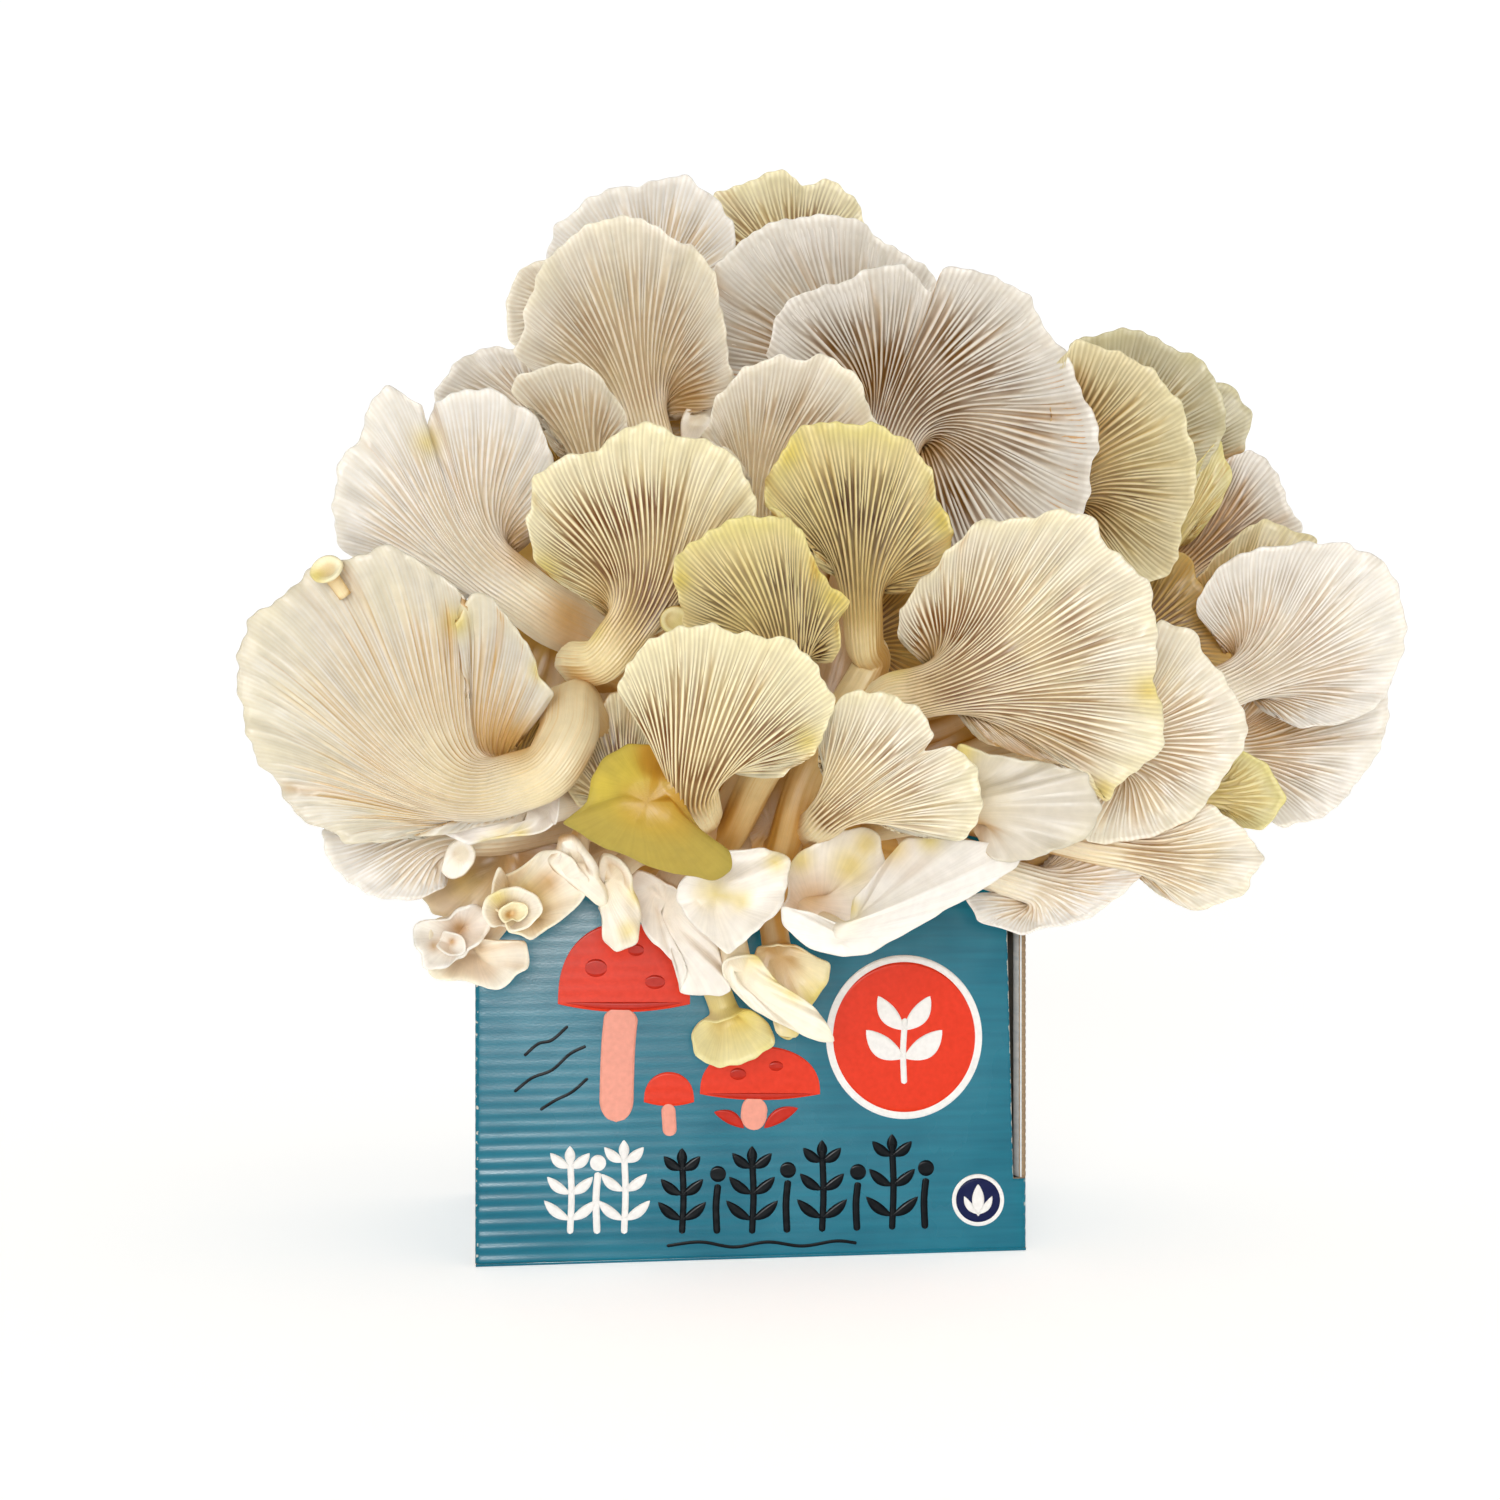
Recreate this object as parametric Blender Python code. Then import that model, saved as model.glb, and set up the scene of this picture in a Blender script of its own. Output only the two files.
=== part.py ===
"""Oyster mushroom grow kit: a folded corrugated carton, the grow block inside it,
and the cluster of mushrooms that has grown out of the carton's front window.

Metres, +Z up. The origin is the middle of the carton's underside, and the printed
front panel faces -Y. Each mushroom is one grown piece: its fan-shaped cap runs down
into its own stem, and all the stems end on the shared lump of fused stem butts.
"""

import math

import bmesh
import bpy
import numpy as np
from mathutils import Vector
from mathutils.bvhtree import BVHTree

MM = 0.001

# ---- driving dimensions, in millimetres ----
CARTON_WIDTH = 203.0
CARTON_DEPTH = 127.0
CARTON_HEIGHT = 203.0
BOARD = 2.5  # corrugated board
WINDOW = dict(left=-68.0, right=70.0, bottom=134.0, top=186.0)  # cut in the front panel
SEAM = dict(bottom=27.0, top=176.0, wide=6.4, narrow=2.6)  # gap beside the right wall
BLOCK_WIDTH = 174.0
BLOCK_DEPTH = 116.0
BLOCK_HEIGHT = 188.0
BLOCK_EDGE = 9.0
GAP = 0.35  # between pieces that touch
GAP_STEP = 0.1  # how much wider each further cut of the same two pieces is
MOST_CUTS = 6
CRUMB = 0.002  # what a cut leaves smaller than this is no shape
CAP_EDGE = 1.7  # thickness of a cap at its margin
COLUMN_PITCH = 17.0  # one column of faces for this much of a cap's margin
MIDDLE = 0.5  # where the ring between a cap's neck and its margin lies
EVEN = 0.6  # share of a cap's one main direction in the direction of its thickness
STEM_OPENING = math.radians(50)  # a wider gap in a margin is where the stem leaves
MARGIN_SAMPLES = 720
SHARP = 50.0  # degrees between faces that shade as an edge
LEAN_BACK = 0.8  # how far a stem may lean back for its rise above the carton
MARGIN_SOFTNESS = 4.0  # pixels over which a margin's corners are rounded
# the fused butts: their middle, their half sizes in front of the panel, how far they reach
# forward, and rings as (forward, half width, half height)
LUMP = dict(x=1.0, z=160.0, half_x=72.0, half_z=34.0, tip=33.0,
            neck=[(-5.15, 65.0, 22.0), (0.6, 65.0, 22.0)],
            front=[(0.8, 72.0, 34.0), (13.0, 73.0, 34.0), (23.0, 56.0, 26.0), (30.0, 32.0, 15.0)])

# ---- the eye that the places of the mushrooms were read from ----
# A level eye in front of the carton and a little to its left, and the photograph's pixels.
EYE_TURN = math.radians(7.0)
EYE_DISTANCE = 750.0
EYE_HEIGHT = 186.0
EYE_AIM_X = -2.0
FOCAL_PIXELS = 2054.0
FRAME_CENTRE = (750.0, 750.0)

# ---- the mushrooms, from the front of the cluster to its back ----
# hub: the pixel where the gills meet the stem. rim: pixels along the cap's margin, in order.
# forward: how far the hub stands in front of the front panel. lean: how much further
# forward the far edge is. across and up: slope of the cap, mm forward for 100 pixels.
# stem: its way to the butts as (pixel x, pixel y, forward). thick: radius below the gills.
# back: True where the cap turns its smooth upper side to the front.
MUSHROOMS = [
    dict(name="mushroom_front_centre", hub=(694, 790), forward=98, lean=30, thick=7.5,
         rim=[(672, 788), (664, 752), (645, 722), (618, 684), (627, 662), (660, 637), (700, 627),
              (745, 632), (790, 646), (818, 668), (835, 702), (827, 724), (812, 758), (782, 773),
              (745, 768), (715, 786)],
         stem=[(686, 806, 90), (694, 816, 60)]),
    dict(name="mushroom_yellow_fold", hub=(660, 812), forward=100, lean=10, thick=6, back=True,
         rim=[(564, 824), (588, 808), (592, 776), (612, 764), (632, 744), (656, 745), (672, 768),
              (666, 796), (672, 826), (702, 834), (726, 846), (731, 870), (708, 879), (648, 870),
              (596, 850)],
         stem=[(672, 830, 84), (690, 838, 56)]),
    dict(name="mushroom_front_trough", hub=(812, 892), forward=78, lean=26, thick=8, up=-14,
         rim=[(786, 900), (788, 868), (800, 842), (835, 832), (868, 832), (884, 858), (905, 836),
              (960, 840), (1024, 845), (1018, 868), (960, 902), (905, 934), (852, 958), (812, 950),
              (784, 922)],
         stem=[(796, 888, 60), (780, 862, 36)]),
    dict(name="mushroom_front_right", hub=(832, 812), forward=84, lean=22, thick=7,
         rim=[(806, 802), (812, 765), (820, 732), (836, 698), (862, 691), (894, 698), (916, 712),
              (935, 735), (923, 750), (950, 747), (972, 768), (984, 800), (974, 826), (958, 841),
              (915, 836), (870, 838), (846, 832)],
         stem=[(822, 834, 66), (800, 842, 34)]),
    dict(name="mushroom_yellow_centre", hub=(786, 672), forward=84, lean=26, thick=6.5,
         rim=[(692, 632), (676, 600), (672, 575), (690, 545), (722, 527), (762, 513), (790, 521),
              (812, 553), (832, 588), (849, 606), (838, 622), (842, 646), (838, 668), (815, 684)],
         stem=[(776, 740, 68), (755, 785, 56), (728, 840, 42)]),
    dict(name="mushroom_big_left", hub=(512, 784), forward=78, lean=10, across=4, up=6, thick=8.5,
         rim=[(497, 715), (531, 708), (553, 694), (540, 675), (534, 658), (509, 620), (489, 597),
              (470, 597), (456, 625), (462, 600), (446, 583), (419, 559), (387, 546), (345, 560),
              (310, 572), (280, 598), (248, 624), (237, 655), (243, 715), (262, 768), (300, 815),
              (350, 844), (395, 842), (440, 828), (480, 812)],
         stem=[(548, 770, 84), (568, 738, 82), (574, 706, 70), (604, 740, 46)]),
    dict(name="mushroom_white_side", hub=(968, 806), forward=70, lean=20, thick=6,
         rim=[(946, 778), (958, 744), (1000, 757), (1050, 765), (1088, 774), (1101, 806), (1088, 832),
              (1062, 848), (1028, 852), (988, 834)],
         stem=[(935, 812, 58), (880, 826, 34)]),
    dict(name="mushroom_centre_left", hub=(622, 636), forward=72, lean=20, thick=8,
         rim=[(597, 630), (566, 590), (536, 564), (527, 525), (534, 482), (560, 459), (596, 451),
              (612, 438), (646, 424), (690, 437), (732, 456), (752, 485), (755, 515), (735, 560),
              (700, 600), (664, 630)],
         stem=[(602, 660, 72), (578, 662, 62), (590, 668, 40), (656, 700, 24)]),
    dict(name="mushroom_right_front", hub=(922, 692), forward=62, lean=24, across=-2, up=6, thick=9,
         rim=[(908, 674), (888, 656), (886, 632), (906, 604), (944, 552), (985, 524), (1050, 512),
              (1090, 518), (1104, 542), (1128, 564), (1150, 590), (1158, 630), (1150, 676), (1166, 716),
              (1158, 750), (1122, 784), (1104, 804), (1084, 770), (1030, 758), (975, 740), (942, 714)],
         stem=[(884, 704, 54), (838, 770, 28)]),
    dict(name="mushroom_yellow_right", hub=(862, 606), forward=58, lean=30, thick=7,
         rim=[(848, 602), (822, 566), (796, 528), (766, 508), (766, 474), (788, 442), (825, 423),
              (870, 424), (908, 441), (932, 472), (938, 508), (955, 530), (945, 562), (912, 602),
              (884, 622)],
         stem=[(864, 644, 52), (868, 672, 46), (808, 772, 50), (784, 846, 40)]),
    dict(name="mushroom_centre_back", hub=(764, 520), forward=40, lean=32, thick=6,
         rim=[(752, 480), (728, 450), (700, 438), (716, 400), (745, 370), (782, 358), (818, 355),
              (855, 378), (880, 428), (868, 480), (812, 516)],
         stem=[(766, 590, 34), (752, 752, 38), (708, 836, 40)]),
    dict(name="mushroom_left", hub=(500, 578), forward=46, lean=8, across=4, up=8, thick=10.5,
         rim=[(540, 590), (560, 545), (562, 490), (550, 452), (532, 414), (500, 394), (466, 389),
              (436, 400), (428, 436), (414, 402), (392, 387), (368, 405), (360, 440), (338, 470),
              (333, 505), (343, 555), (400, 585), (440, 606), (480, 628)],
         stem=[(548, 612, 46), (592, 640, 34), (630, 720, 24)]),
    dict(name="mushroom_small_upper_left", hub=(590, 470), forward=30, lean=28, thick=5.5,
         rim=[(558, 462), (542, 425), (509, 392), (524, 376), (550, 367), (580, 368), (606, 384),
              (628, 420), (634, 452), (616, 470)],
         stem=[(616, 560, 20), (680, 700, 12), (712, 760, 14)]),
    dict(name="mushroom_top_left", hub=(646, 424), forward=4, lean=42, thick=8.5,
         rim=[(612, 424), (560, 400), (518, 358), (530, 305), (544, 258), (590, 226), (642, 218),
              (684, 243), (714, 272), (724, 330), (736, 376), (716, 412), (684, 430)],
         stem=[(664, 500, 8), (676, 640, 16), (690, 762, 14)]),
    dict(name="mushroom_big_right", hub=(892, 450), forward=12, lean=38, thick=10,
         rim=[(852, 436), (800, 400), (768, 352), (780, 312), (815, 284), (858, 283), (874, 270),
              (904, 261), (930, 296), (944, 268), (985, 272), (1030, 298), (1046, 334), (1072, 364),
              (1088, 405), (1097, 445), (1088, 500), (1060, 545), (990, 580), (925, 598), (884, 560),
              (876, 500)],
         stem=[(868, 540, 14), (826, 700, 16), (800, 770, 12)]),
    dict(name="mushroom_right_middle", hub=(1106, 752), forward=40, lean=16, thick=7.5,
         rim=[(1112, 690), (1150, 648), (1160, 622), (1192, 630), (1212, 664), (1238, 702), (1250, 726),
              (1226, 775), (1200, 810), (1160, 836), (1114, 834), (1096, 800)],
         stem=[(1040, 768, 36), (910, 790, 24)]),
    dict(name="mushroom_upper_right", hub=(1048, 508), forward=20, lean=34, thick=8.5,
         rim=[(1046, 430), (1052, 372), (1072, 342), (1108, 348), (1152, 370), (1178, 406), (1196, 446),
              (1194, 484), (1181, 522), (1180, 562), (1146, 584), (1088, 570), (1056, 540)],
         stem=[(1004, 600, 22), (880, 740, 16)]),
    dict(name="mushroom_lower_right_small", hub=(1122, 851), forward=40, lean=14, thick=6.5,
         rim=[(1142, 836), (1180, 812), (1212, 803), (1244, 832), (1264, 860), (1244, 892), (1196, 912),
              (1160, 896), (1138, 866)],
         stem=[(1070, 842, 34), (940, 812, 20)]),
    dict(name="mushroom_lower_right", hub=(1030, 884), forward=30, lean=12, thick=7,
         rim=[(996, 880), (964, 898), (980, 920), (1018, 938), (1070, 928), (1112, 902), (1132, 868),
              (1124, 834), (1080, 838), (1046, 852)],
         stem=[(980, 868, 30), (900, 836, 18)]),
    dict(name="mushroom_small_yellow_right", hub=(1210, 792), forward=26, lean=14, thick=5.5,
         rim=[(1206, 762), (1238, 750), (1268, 766), (1284, 798), (1262, 832), (1232, 826)],
         stem=[(1130, 786, 22), (930, 796, 12)]),
    dict(name="mushroom_far_right", hub=(1232, 684), forward=22, lean=24, thick=8.5,
         rim=[(1206, 640), (1194, 600), (1214, 572), (1248, 554), (1300, 542), (1350, 546), (1382, 560),
              (1400, 598), (1407, 628), (1396, 668), (1382, 704), (1340, 724), (1290, 730), (1252, 722)],
         stem=[(1180, 706, 16), (1040, 740, 14), (920, 776, 10)]),
    dict(name="mushroom_far_right_low", hub=(1232, 748), forward=6, lean=12, thick=6.5,
         rim=[(1236, 700), (1290, 690), (1340, 680), (1392, 678), (1386, 722), (1366, 776), (1326, 814),
              (1282, 830), (1246, 800)],
         stem=[(1160, 752, 8), (930, 782, 8)]),
    dict(name="mushroom_right_ruffle", hub=(1214, 628), forward=6, lean=14, thick=5.5,
         rim=[(1190, 590), (1216, 556), (1242, 532), (1264, 519), (1290, 530), (1316, 542), (1290, 590),
              (1250, 628)],
         stem=[(1150, 676, 8), (930, 762, 8)]),
    dict(name="mushroom_right_dark", hub=(1120, 650), forward=4, lean=16, thick=6,
         rim=[(1112, 600), (1144, 570), (1174, 550), (1192, 562), (1204, 596), (1226, 632), (1232, 672),
              (1180, 690)],
         stem=[(1060, 690, 8), (900, 762, 8)]),
    dict(name="mushroom_yellow_far", hub=(1168, 540), forward=0, lean=12, thick=5,
         rim=[(1172, 500), (1194, 464), (1220, 441), (1233, 478), (1218, 508), (1192, 542)],
         stem=[(1120, 600, 4), (900, 738, 8)]),
    dict(name="mushroom_right_back", hub=(1100, 476), forward=-8, lean=26, thick=7,
         rim=[(1062, 420), (1066, 346), (1100, 336), (1142, 330), (1180, 352), (1212, 372), (1226, 410),
              (1218, 450), (1188, 486), (1140, 500)],
         stem=[(1040, 590, 0), (880, 730, 9)]),
    dict(name="mushroom_right_fan", hub=(1184, 566), forward=-14, lean=16, thick=6,
         rim=[(1190, 500), (1226, 460), (1248, 450), (1278, 474), (1288, 506), (1302, 534), (1250, 562)],
         stem=[(1120, 620, -8), (960, 720, 8), (890, 742, 8)]),
    dict(name="mushroom_upper_back", hub=(838, 404), forward=-14, lean=30, thick=8,
         rim=[(786, 392), (740, 364), (710, 312), (718, 264), (746, 236), (786, 221), (826, 216),
              (864, 222), (886, 246), (926, 268), (950, 300), (930, 360), (884, 398)],
         stem=[(824, 540, 0), (790, 720, 10)]),
    dict(name="mushroom_back_left", hub=(536, 436), forward=-16, lean=12, thick=6,
         rim=[(484, 440), (440, 410), (434, 388), (458, 362), (498, 347), (540, 352), (560, 392)],
         stem=[(570, 560, -8), (640, 734, 9)]),
    dict(name="mushroom_top_back", hub=(652, 316), forward=-26, lean=18, thick=7,
         rim=[(600, 318), (556, 290), (546, 254), (562, 222), (592, 198), (636, 184), (684, 178),
              (714, 196), (732, 224), (738, 256), (712, 290)],
         stem=[(664, 480, -20), (694, 640, 2), (712, 728, 8)]),
    dict(name="mushroom_right_edge", hub=(1152, 480), forward=-26, lean=16, thick=5.5,
         rim=[(1160, 420), (1196, 376), (1232, 386), (1250, 416), (1244, 452), (1216, 480)],
         stem=[(1080, 566, -20), (930, 676, 2), (850, 716, 8)]),
    dict(name="mushroom_back_left_low", hub=(578, 330), forward=-42, lean=10, thick=5.5,
         rim=[(546, 356), (514, 346), (507, 306), (516, 276), (548, 258), (584, 280)],
         stem=[(610, 500, -30), (660, 650, 6), (676, 716, 8)]),
    dict(name="mushroom_top_right_back", hub=(790, 296), forward=-40, lean=18, thick=6.5,
         rim=[(742, 276), (712, 236), (716, 192), (750, 184), (786, 169), (803, 188), (824, 181),
              (856, 198), (866, 230), (838, 272)],
         stem=[(776, 480, -30), (762, 640, 6), (756, 712, 9)]),
    # the small ones low in the middle and on the left, in front of the panel
    dict(name="mushroom_behind_fold", hub=(628, 802), forward=52, lean=14, thick=6,
         rim=[(580, 812), (566, 785), (572, 748), (592, 716), (612, 694), (632, 702), (650, 730),
              (656, 776)],
         stem=[(650, 822, 42), (672, 830, 32)]),
    dict(name="mushroom_lower_centre", hub=(716, 892), forward=62, lean=12, thick=6.5, up=-8,
         rim=[(700, 880), (724, 842), (762, 848), (788, 858), (787, 886), (780, 910), (758, 932),
              (726, 953), (702, 932), (686, 908)],
         stem=[(722, 872, 48), (736, 842, 30)]),
    dict(name="mushroom_pointed", hub=(736, 958), forward=42, lean=10, thick=5, back=True,
         rim=[(721, 966), (726, 948), (746, 948), (764, 970), (790, 990), (812, 1005), (830, 1027),
              (834, 1042), (816, 1040), (776, 1022), (748, 1006), (730, 988)],
         stem=[(728, 920, 34), (722, 880, 24)]),
    dict(name="mushroom_lower_tan", hub=(776, 944), forward=32, lean=6, thick=5, back=True,
         rim=[(748, 944), (772, 924), (800, 948), (829, 961), (828, 980), (811, 1004), (796, 1036),
              (776, 1034), (762, 990)],
         stem=[(770, 906, 26), (762, 872, 20)]),
    dict(name="mushroom_lower_yellow", hub=(722, 1004), forward=14, lean=10, thick=5, back=True,
         rim=[(706, 1000), (729, 994), (752, 1008), (770, 1024), (777, 1044), (744, 1060), (716, 1068),
              (696, 1056), (690, 1032)],
         stem=[(708, 960, 14), (702, 884, 14)]),
    dict(name="mushroom_white_sheet", hub=(668, 888), forward=30, lean=14, thick=6, back=True,
         rim=[(624, 884), (632, 864), (680, 866), (704, 890), (718, 948), (732, 994), (688, 992),
              (684, 966), (644, 936)],
         stem=[(680, 868, 26), (696, 852, 20)]),
    dict(name="mushroom_tongue", hub=(616, 872), forward=46, lean=6, thick=4.5, back=True,
         rim=[(603, 876), (605, 862), (626, 860), (630, 888), (641, 900), (638, 940), (616, 952),
              (603, 936)],
         stem=[(636, 856, 36), (668, 846, 22)]),
    dict(name="young_mushroom_finger", hub=(572, 840), forward=52, lean=4, thick=3.5, back=True,
         rim=[(562, 836), (574, 826), (588, 846), (604, 872), (606, 898), (592, 896), (576, 870)],
         stem=[(586, 826, 44), (640, 812, 22)]),
    dict(name="mushroom_curled_small", hub=(522, 896), forward=42, lean=18, thick=6,
         rim=[(486, 908), (500, 872), (520, 852), (552, 846), (576, 870), (580, 898), (560, 922),
              (528, 940), (498, 932)],
         stem=[(560, 862, 32), (650, 826, 14)]),
    dict(name="mushroom_curled_low", hub=(478, 938), forward=26, lean=16, thick=6, back=True,
         rim=[(436, 918), (466, 904), (500, 922), (528, 942), (530, 970), (498, 988), (460, 982),
              (428, 974), (422, 946)],
         stem=[(530, 884, 22), (640, 832, 10)]),
    dict(name="mushroom_lower_left", hub=(452, 836), forward=36, lean=14, thick=7,
         rim=[(420, 806), (370, 800), (322, 830), (332, 866), (366, 893), (412, 900), (446, 892),
              (476, 866), (480, 842)],
         stem=[(520, 832, 32), (636, 806, 14)]),
    dict(name="mushroom_fold_left", hub=(506, 850), forward=26, lean=10, thick=5.5,
         rim=[(480, 836), (446, 856), (420, 892), (432, 914), (470, 908), (496, 892), (520, 880)],
         stem=[(560, 846, 24), (650, 816, 12)]),
    dict(name="mushroom_lower_white", hub=(540, 806), forward=52, lean=8, thick=6.5,
         rim=[(470, 790), (430, 800), (432, 826), (468, 846), (500, 836), (532, 838), (548, 846),
              (572, 822), (584, 798), (560, 782)],
         stem=[(580, 800, 42), (640, 806, 22)]),
]

COLOURS = {
    "mushroom": (0.86, 0.80, 0.66),
    "yellow": (0.80, 0.72, 0.32),
    "butt": (0.78, 0.66, 0.45),
    "carton": (0.06, 0.36, 0.45),
    "block": (0.72, 0.62, 0.48),
}


def sight(px, py, forward):
    """The point, in mm, that the eye sees at a pixel, `forward` mm in front of the front panel."""
    ahead = np.array([math.sin(EYE_TURN), math.cos(EYE_TURN), 0.0])
    right = np.array([math.cos(EYE_TURN), -math.sin(EYE_TURN), 0.0])
    eye = np.array([EYE_AIM_X, -CARTON_DEPTH / 2, EYE_HEIGHT]) - EYE_DISTANCE * ahead
    px, py, forward = np.broadcast_arrays(*[np.asarray(v, float) for v in (px, py, forward)])
    ray = (
        ahead * FOCAL_PIXELS
        + right * (px - FRAME_CENTRE[0])[..., None]
        - np.array([0.0, 0.0, 1.0]) * (py - FRAME_CENTRE[1])[..., None]
    )
    reach = (-CARTON_DEPTH / 2 - forward - eye[1]) / ray[..., 1]
    return eye + ray * reach[..., None]


def unit(v):
    return v / np.maximum(np.linalg.norm(v, axis=-1, keepdims=True), 1e-9)


def margin(spec):
    """The cap's margin as a dense, smoothed loop of pixels about the hub, from the stem's side
    anticlockwise, with its length and the direction in which the stem leaves."""
    points = np.array(spec["rim"], float) - spec["hub"]
    x, y = points.T
    if np.sum(x * np.roll(y, -1) - np.roll(x, -1) * y) > 0:
        points = points[::-1]
    turn = np.arctan2(-points[:, 1], points[:, 0])
    gaps = (np.roll(turn, -1) - turn + math.pi / 3) % (2 * math.pi) - math.pi / 3
    widest = int(np.argmax(gaps))
    if gaps[widest] > STEM_OPENING:
        stem_turn = turn[widest] + gaps[widest] / 2
        collar = 0.5 * np.hypot(*points.T).min() * np.array([math.cos(stem_turn), -math.sin(stem_turn)])
        points = np.vstack([collar, np.roll(points, -widest - 1, 0)])
    else:  # the gills go all round the stem
        leaving = np.array(spec["stem"][0][:2], float) - spec["hub"]
        stem_turn = math.atan2(-leaving[1], leaving[0])
        nearest = int(np.argmin(np.abs((turn - stem_turn + math.pi) % (2 * math.pi) - math.pi)))
        points = np.roll(points, -nearest, 0)
    closed = np.vstack([points, points[:1]])
    length = np.concatenate([[0.0], np.cumsum(np.hypot(*np.diff(closed, axis=0).T))])
    even = np.arange(MARGIN_SAMPLES) * length[-1] / MARGIN_SAMPLES
    reach = max(1, round(MARGIN_SOFTNESS * MARGIN_SAMPLES / length[-1]))
    bell = np.exp(-0.5 * (np.arange(-3 * reach, 3 * reach + 1) / reach) ** 2)
    loop = [
        np.convolve(np.tile(np.interp(even, length, side), 3), bell / bell.sum(), "same")[
            MARGIN_SAMPLES : 2 * MARGIN_SAMPLES
        ]
        for side in closed.T
    ]
    return np.column_stack(loop), length[-1], stem_turn


def smooth_path(points, count):
    """`count` points along a Catmull-Rom curve through `points`."""
    p = np.vstack([2 * points[0] - points[1], points, 2 * points[-1] - points[-2]])
    made = []
    for t in np.linspace(0, len(points) - 1, count):
        i = min(int(t), len(points) - 2)
        u = t - i
        a, b, c, d = p[i : i + 4]
        made.append(
            0.5 * (2 * b + (c - a) * u + (2 * a - 5 * b + 4 * c - d) * u**2 + (3 * b - a - 3 * c + d) * u**3)
        )
    return np.array(made)


def mushroom_rings(spec):
    """The mushroom as rings of points, from the top of the cap round its margin and down the stem."""
    loop, length, stem_turn = margin(spec)
    pixel = EYE_DISTANCE / FOCAL_PIXELS
    count = 2 * int(np.clip(round(length * pixel / COLUMN_PITCH / 2), 4, 10))
    dx, dy = loop[(np.arange(count) * MARGIN_SAMPLES / count).astype(int)].T
    hub = np.array(spec["hub"], float)
    share = np.hypot(dx, dy) / np.hypot(dx, dy).max()
    depth = (
        spec["forward"]
        + spec.get("lean", 0) * share
        + spec.get("across", 0) * dx / 100
        - spec.get("up", 0) * dy / 100
    )
    thick = spec["thick"]
    centre = sight(*hub, spec["forward"])
    rim = sight(hub[0] + dx, hub[1] + dy, depth)
    path = np.vstack([centre, [sight(*p) for p in spec["stem"]]])
    path = np.vstack([path, root_of(path[-1])])
    along = in_front_of_carton(smooth_path(path, 3 * len(path) - 2), thick)
    down = unit(along[1] - along[0])
    side = np.array([math.cos(stem_turn - math.pi / 2), 0.0, math.sin(stem_turn - math.pi / 2)])
    across = unit(side - side.dot(down) * down)
    front = unit(np.cross(across, down))
    turned = -1.0 if (front[1] > 0) != bool(spec.get("back")) else 1.0
    front = turned * front
    ring = 2 * math.pi * np.arange(count) / count + math.pi
    neck_out = np.cos(ring)[:, None] * front + np.sin(ring)[:, None] * across
    neck = centre + thick * neck_out
    size = np.linalg.norm(rim - centre, axis=1)
    flat = np.clip((size - 1.2 * thick) / (2.2 * thick), 0, 1)[:, None]
    collar = centre + 1.9 * thick * neck_out - 0.7 * thick * down
    rim = flat * rim + (1 - flat) * collar
    span = np.linalg.norm(rim - neck, axis=1)[:, None]
    lift = neck - 0.38 * span * down
    enter = rim - 0.35 * span * unit(rim - centre)

    def gill_side(s):
        return neck * (1 - s) ** 3 + 3 * lift * s * (1 - s) ** 2 + 3 * enter * s**2 * (1 - s) + rim * s**3

    middle = gill_side(MIDDLE)
    along_rim = np.roll(middle, -1, 0) - np.roll(middle, 1, 0)
    normal = -turned * unit(np.cross(along_rim, gill_side(MIDDLE + 0.03) - gill_side(MIDDLE - 0.03)))
    normal = unit((1 - EVEN) * normal + EVEN * unit(normal.mean(0)))
    rings = [
        middle - normal * (CAP_EDGE + (thick - CAP_EDGE) * (1 - MIDDLE) ** 2),
        rim - normal * CAP_EDGE,
        rim,
        middle,
        neck,
    ]
    stops = np.linspace(0, len(along) - 1, len(path) + 1).round().astype(int)[1:]
    for i in range(1, len(along)):
        turn_to = unit(along[i] - along[i - 1])
        across = unit(across - across.dot(turn_to) * turn_to)
        front = unit(front - front.dot(turn_to) * turn_to - front.dot(across) * across)
        if i in stops:
            out = np.cos(ring[::2])[:, None] * front + np.sin(ring[::2])[:, None] * across
            rings.append(along[i] + thick * (0.95 - 0.2 * i / len(along)) * out)
    return rings[0].mean(0), rings, along[-1]


def in_front_of_carton(along, thick):
    """Keeps a stem in front of the panel, and lets it lean back only above the carton."""
    nearest = -CARTON_DEPTH / 2 - thick - 1.0
    above = np.maximum(along[1:-1, 2] - CARTON_HEIGHT - thick, 0.0)
    along[1:-1, 1] = np.minimum(along[1:-1, 1], nearest + LEAN_BACK * above)
    return along


def root_of(end):
    """The place inside the butts that a stem with this visible end grows from."""
    middle = np.array([LUMP["x"], -CARTON_DEPTH / 2 - 8.0, LUMP["z"]])
    offset = end - middle
    spread = math.hypot(offset[0] / LUMP["half_x"], offset[2] / LUMP["half_z"])
    root = middle + offset * 0.62 / max(spread, 0.62)
    root[1] = middle[1]
    return root


def skin(rings, start, end):
    """A closed mesh through rings, from a start point to an end point. A ring has as many
    points as the one before it or half as many."""
    points = np.vstack([start, *rings, end]) * MM
    first, count = 1, len(rings[0])
    faces = [(0, first + j, first + (j + 1) % count) for j in range(count)]
    for ring in rings[1:]:
        a, b = first, first + count
        if len(ring) == count:
            for j in range(count):
                k = (j + 1) % count
                faces += [(a + j, b + j, b + k), (a + j, b + k, a + k)]
        else:
            for j in range(count // 2):
                here, between, after = a + 2 * j, a + 2 * j + 1, a + (2 * j + 2) % count
                k = (j + 1) % (count // 2)
                faces += [(here, b + j, between), (between, b + j, b + k), (between, b + k, after)]
        first, count = b, len(ring)
    last = len(points) - 1
    faces += [(first + j, last, first + (j + 1) % count) for j in range(count)]
    return points, faces


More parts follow.
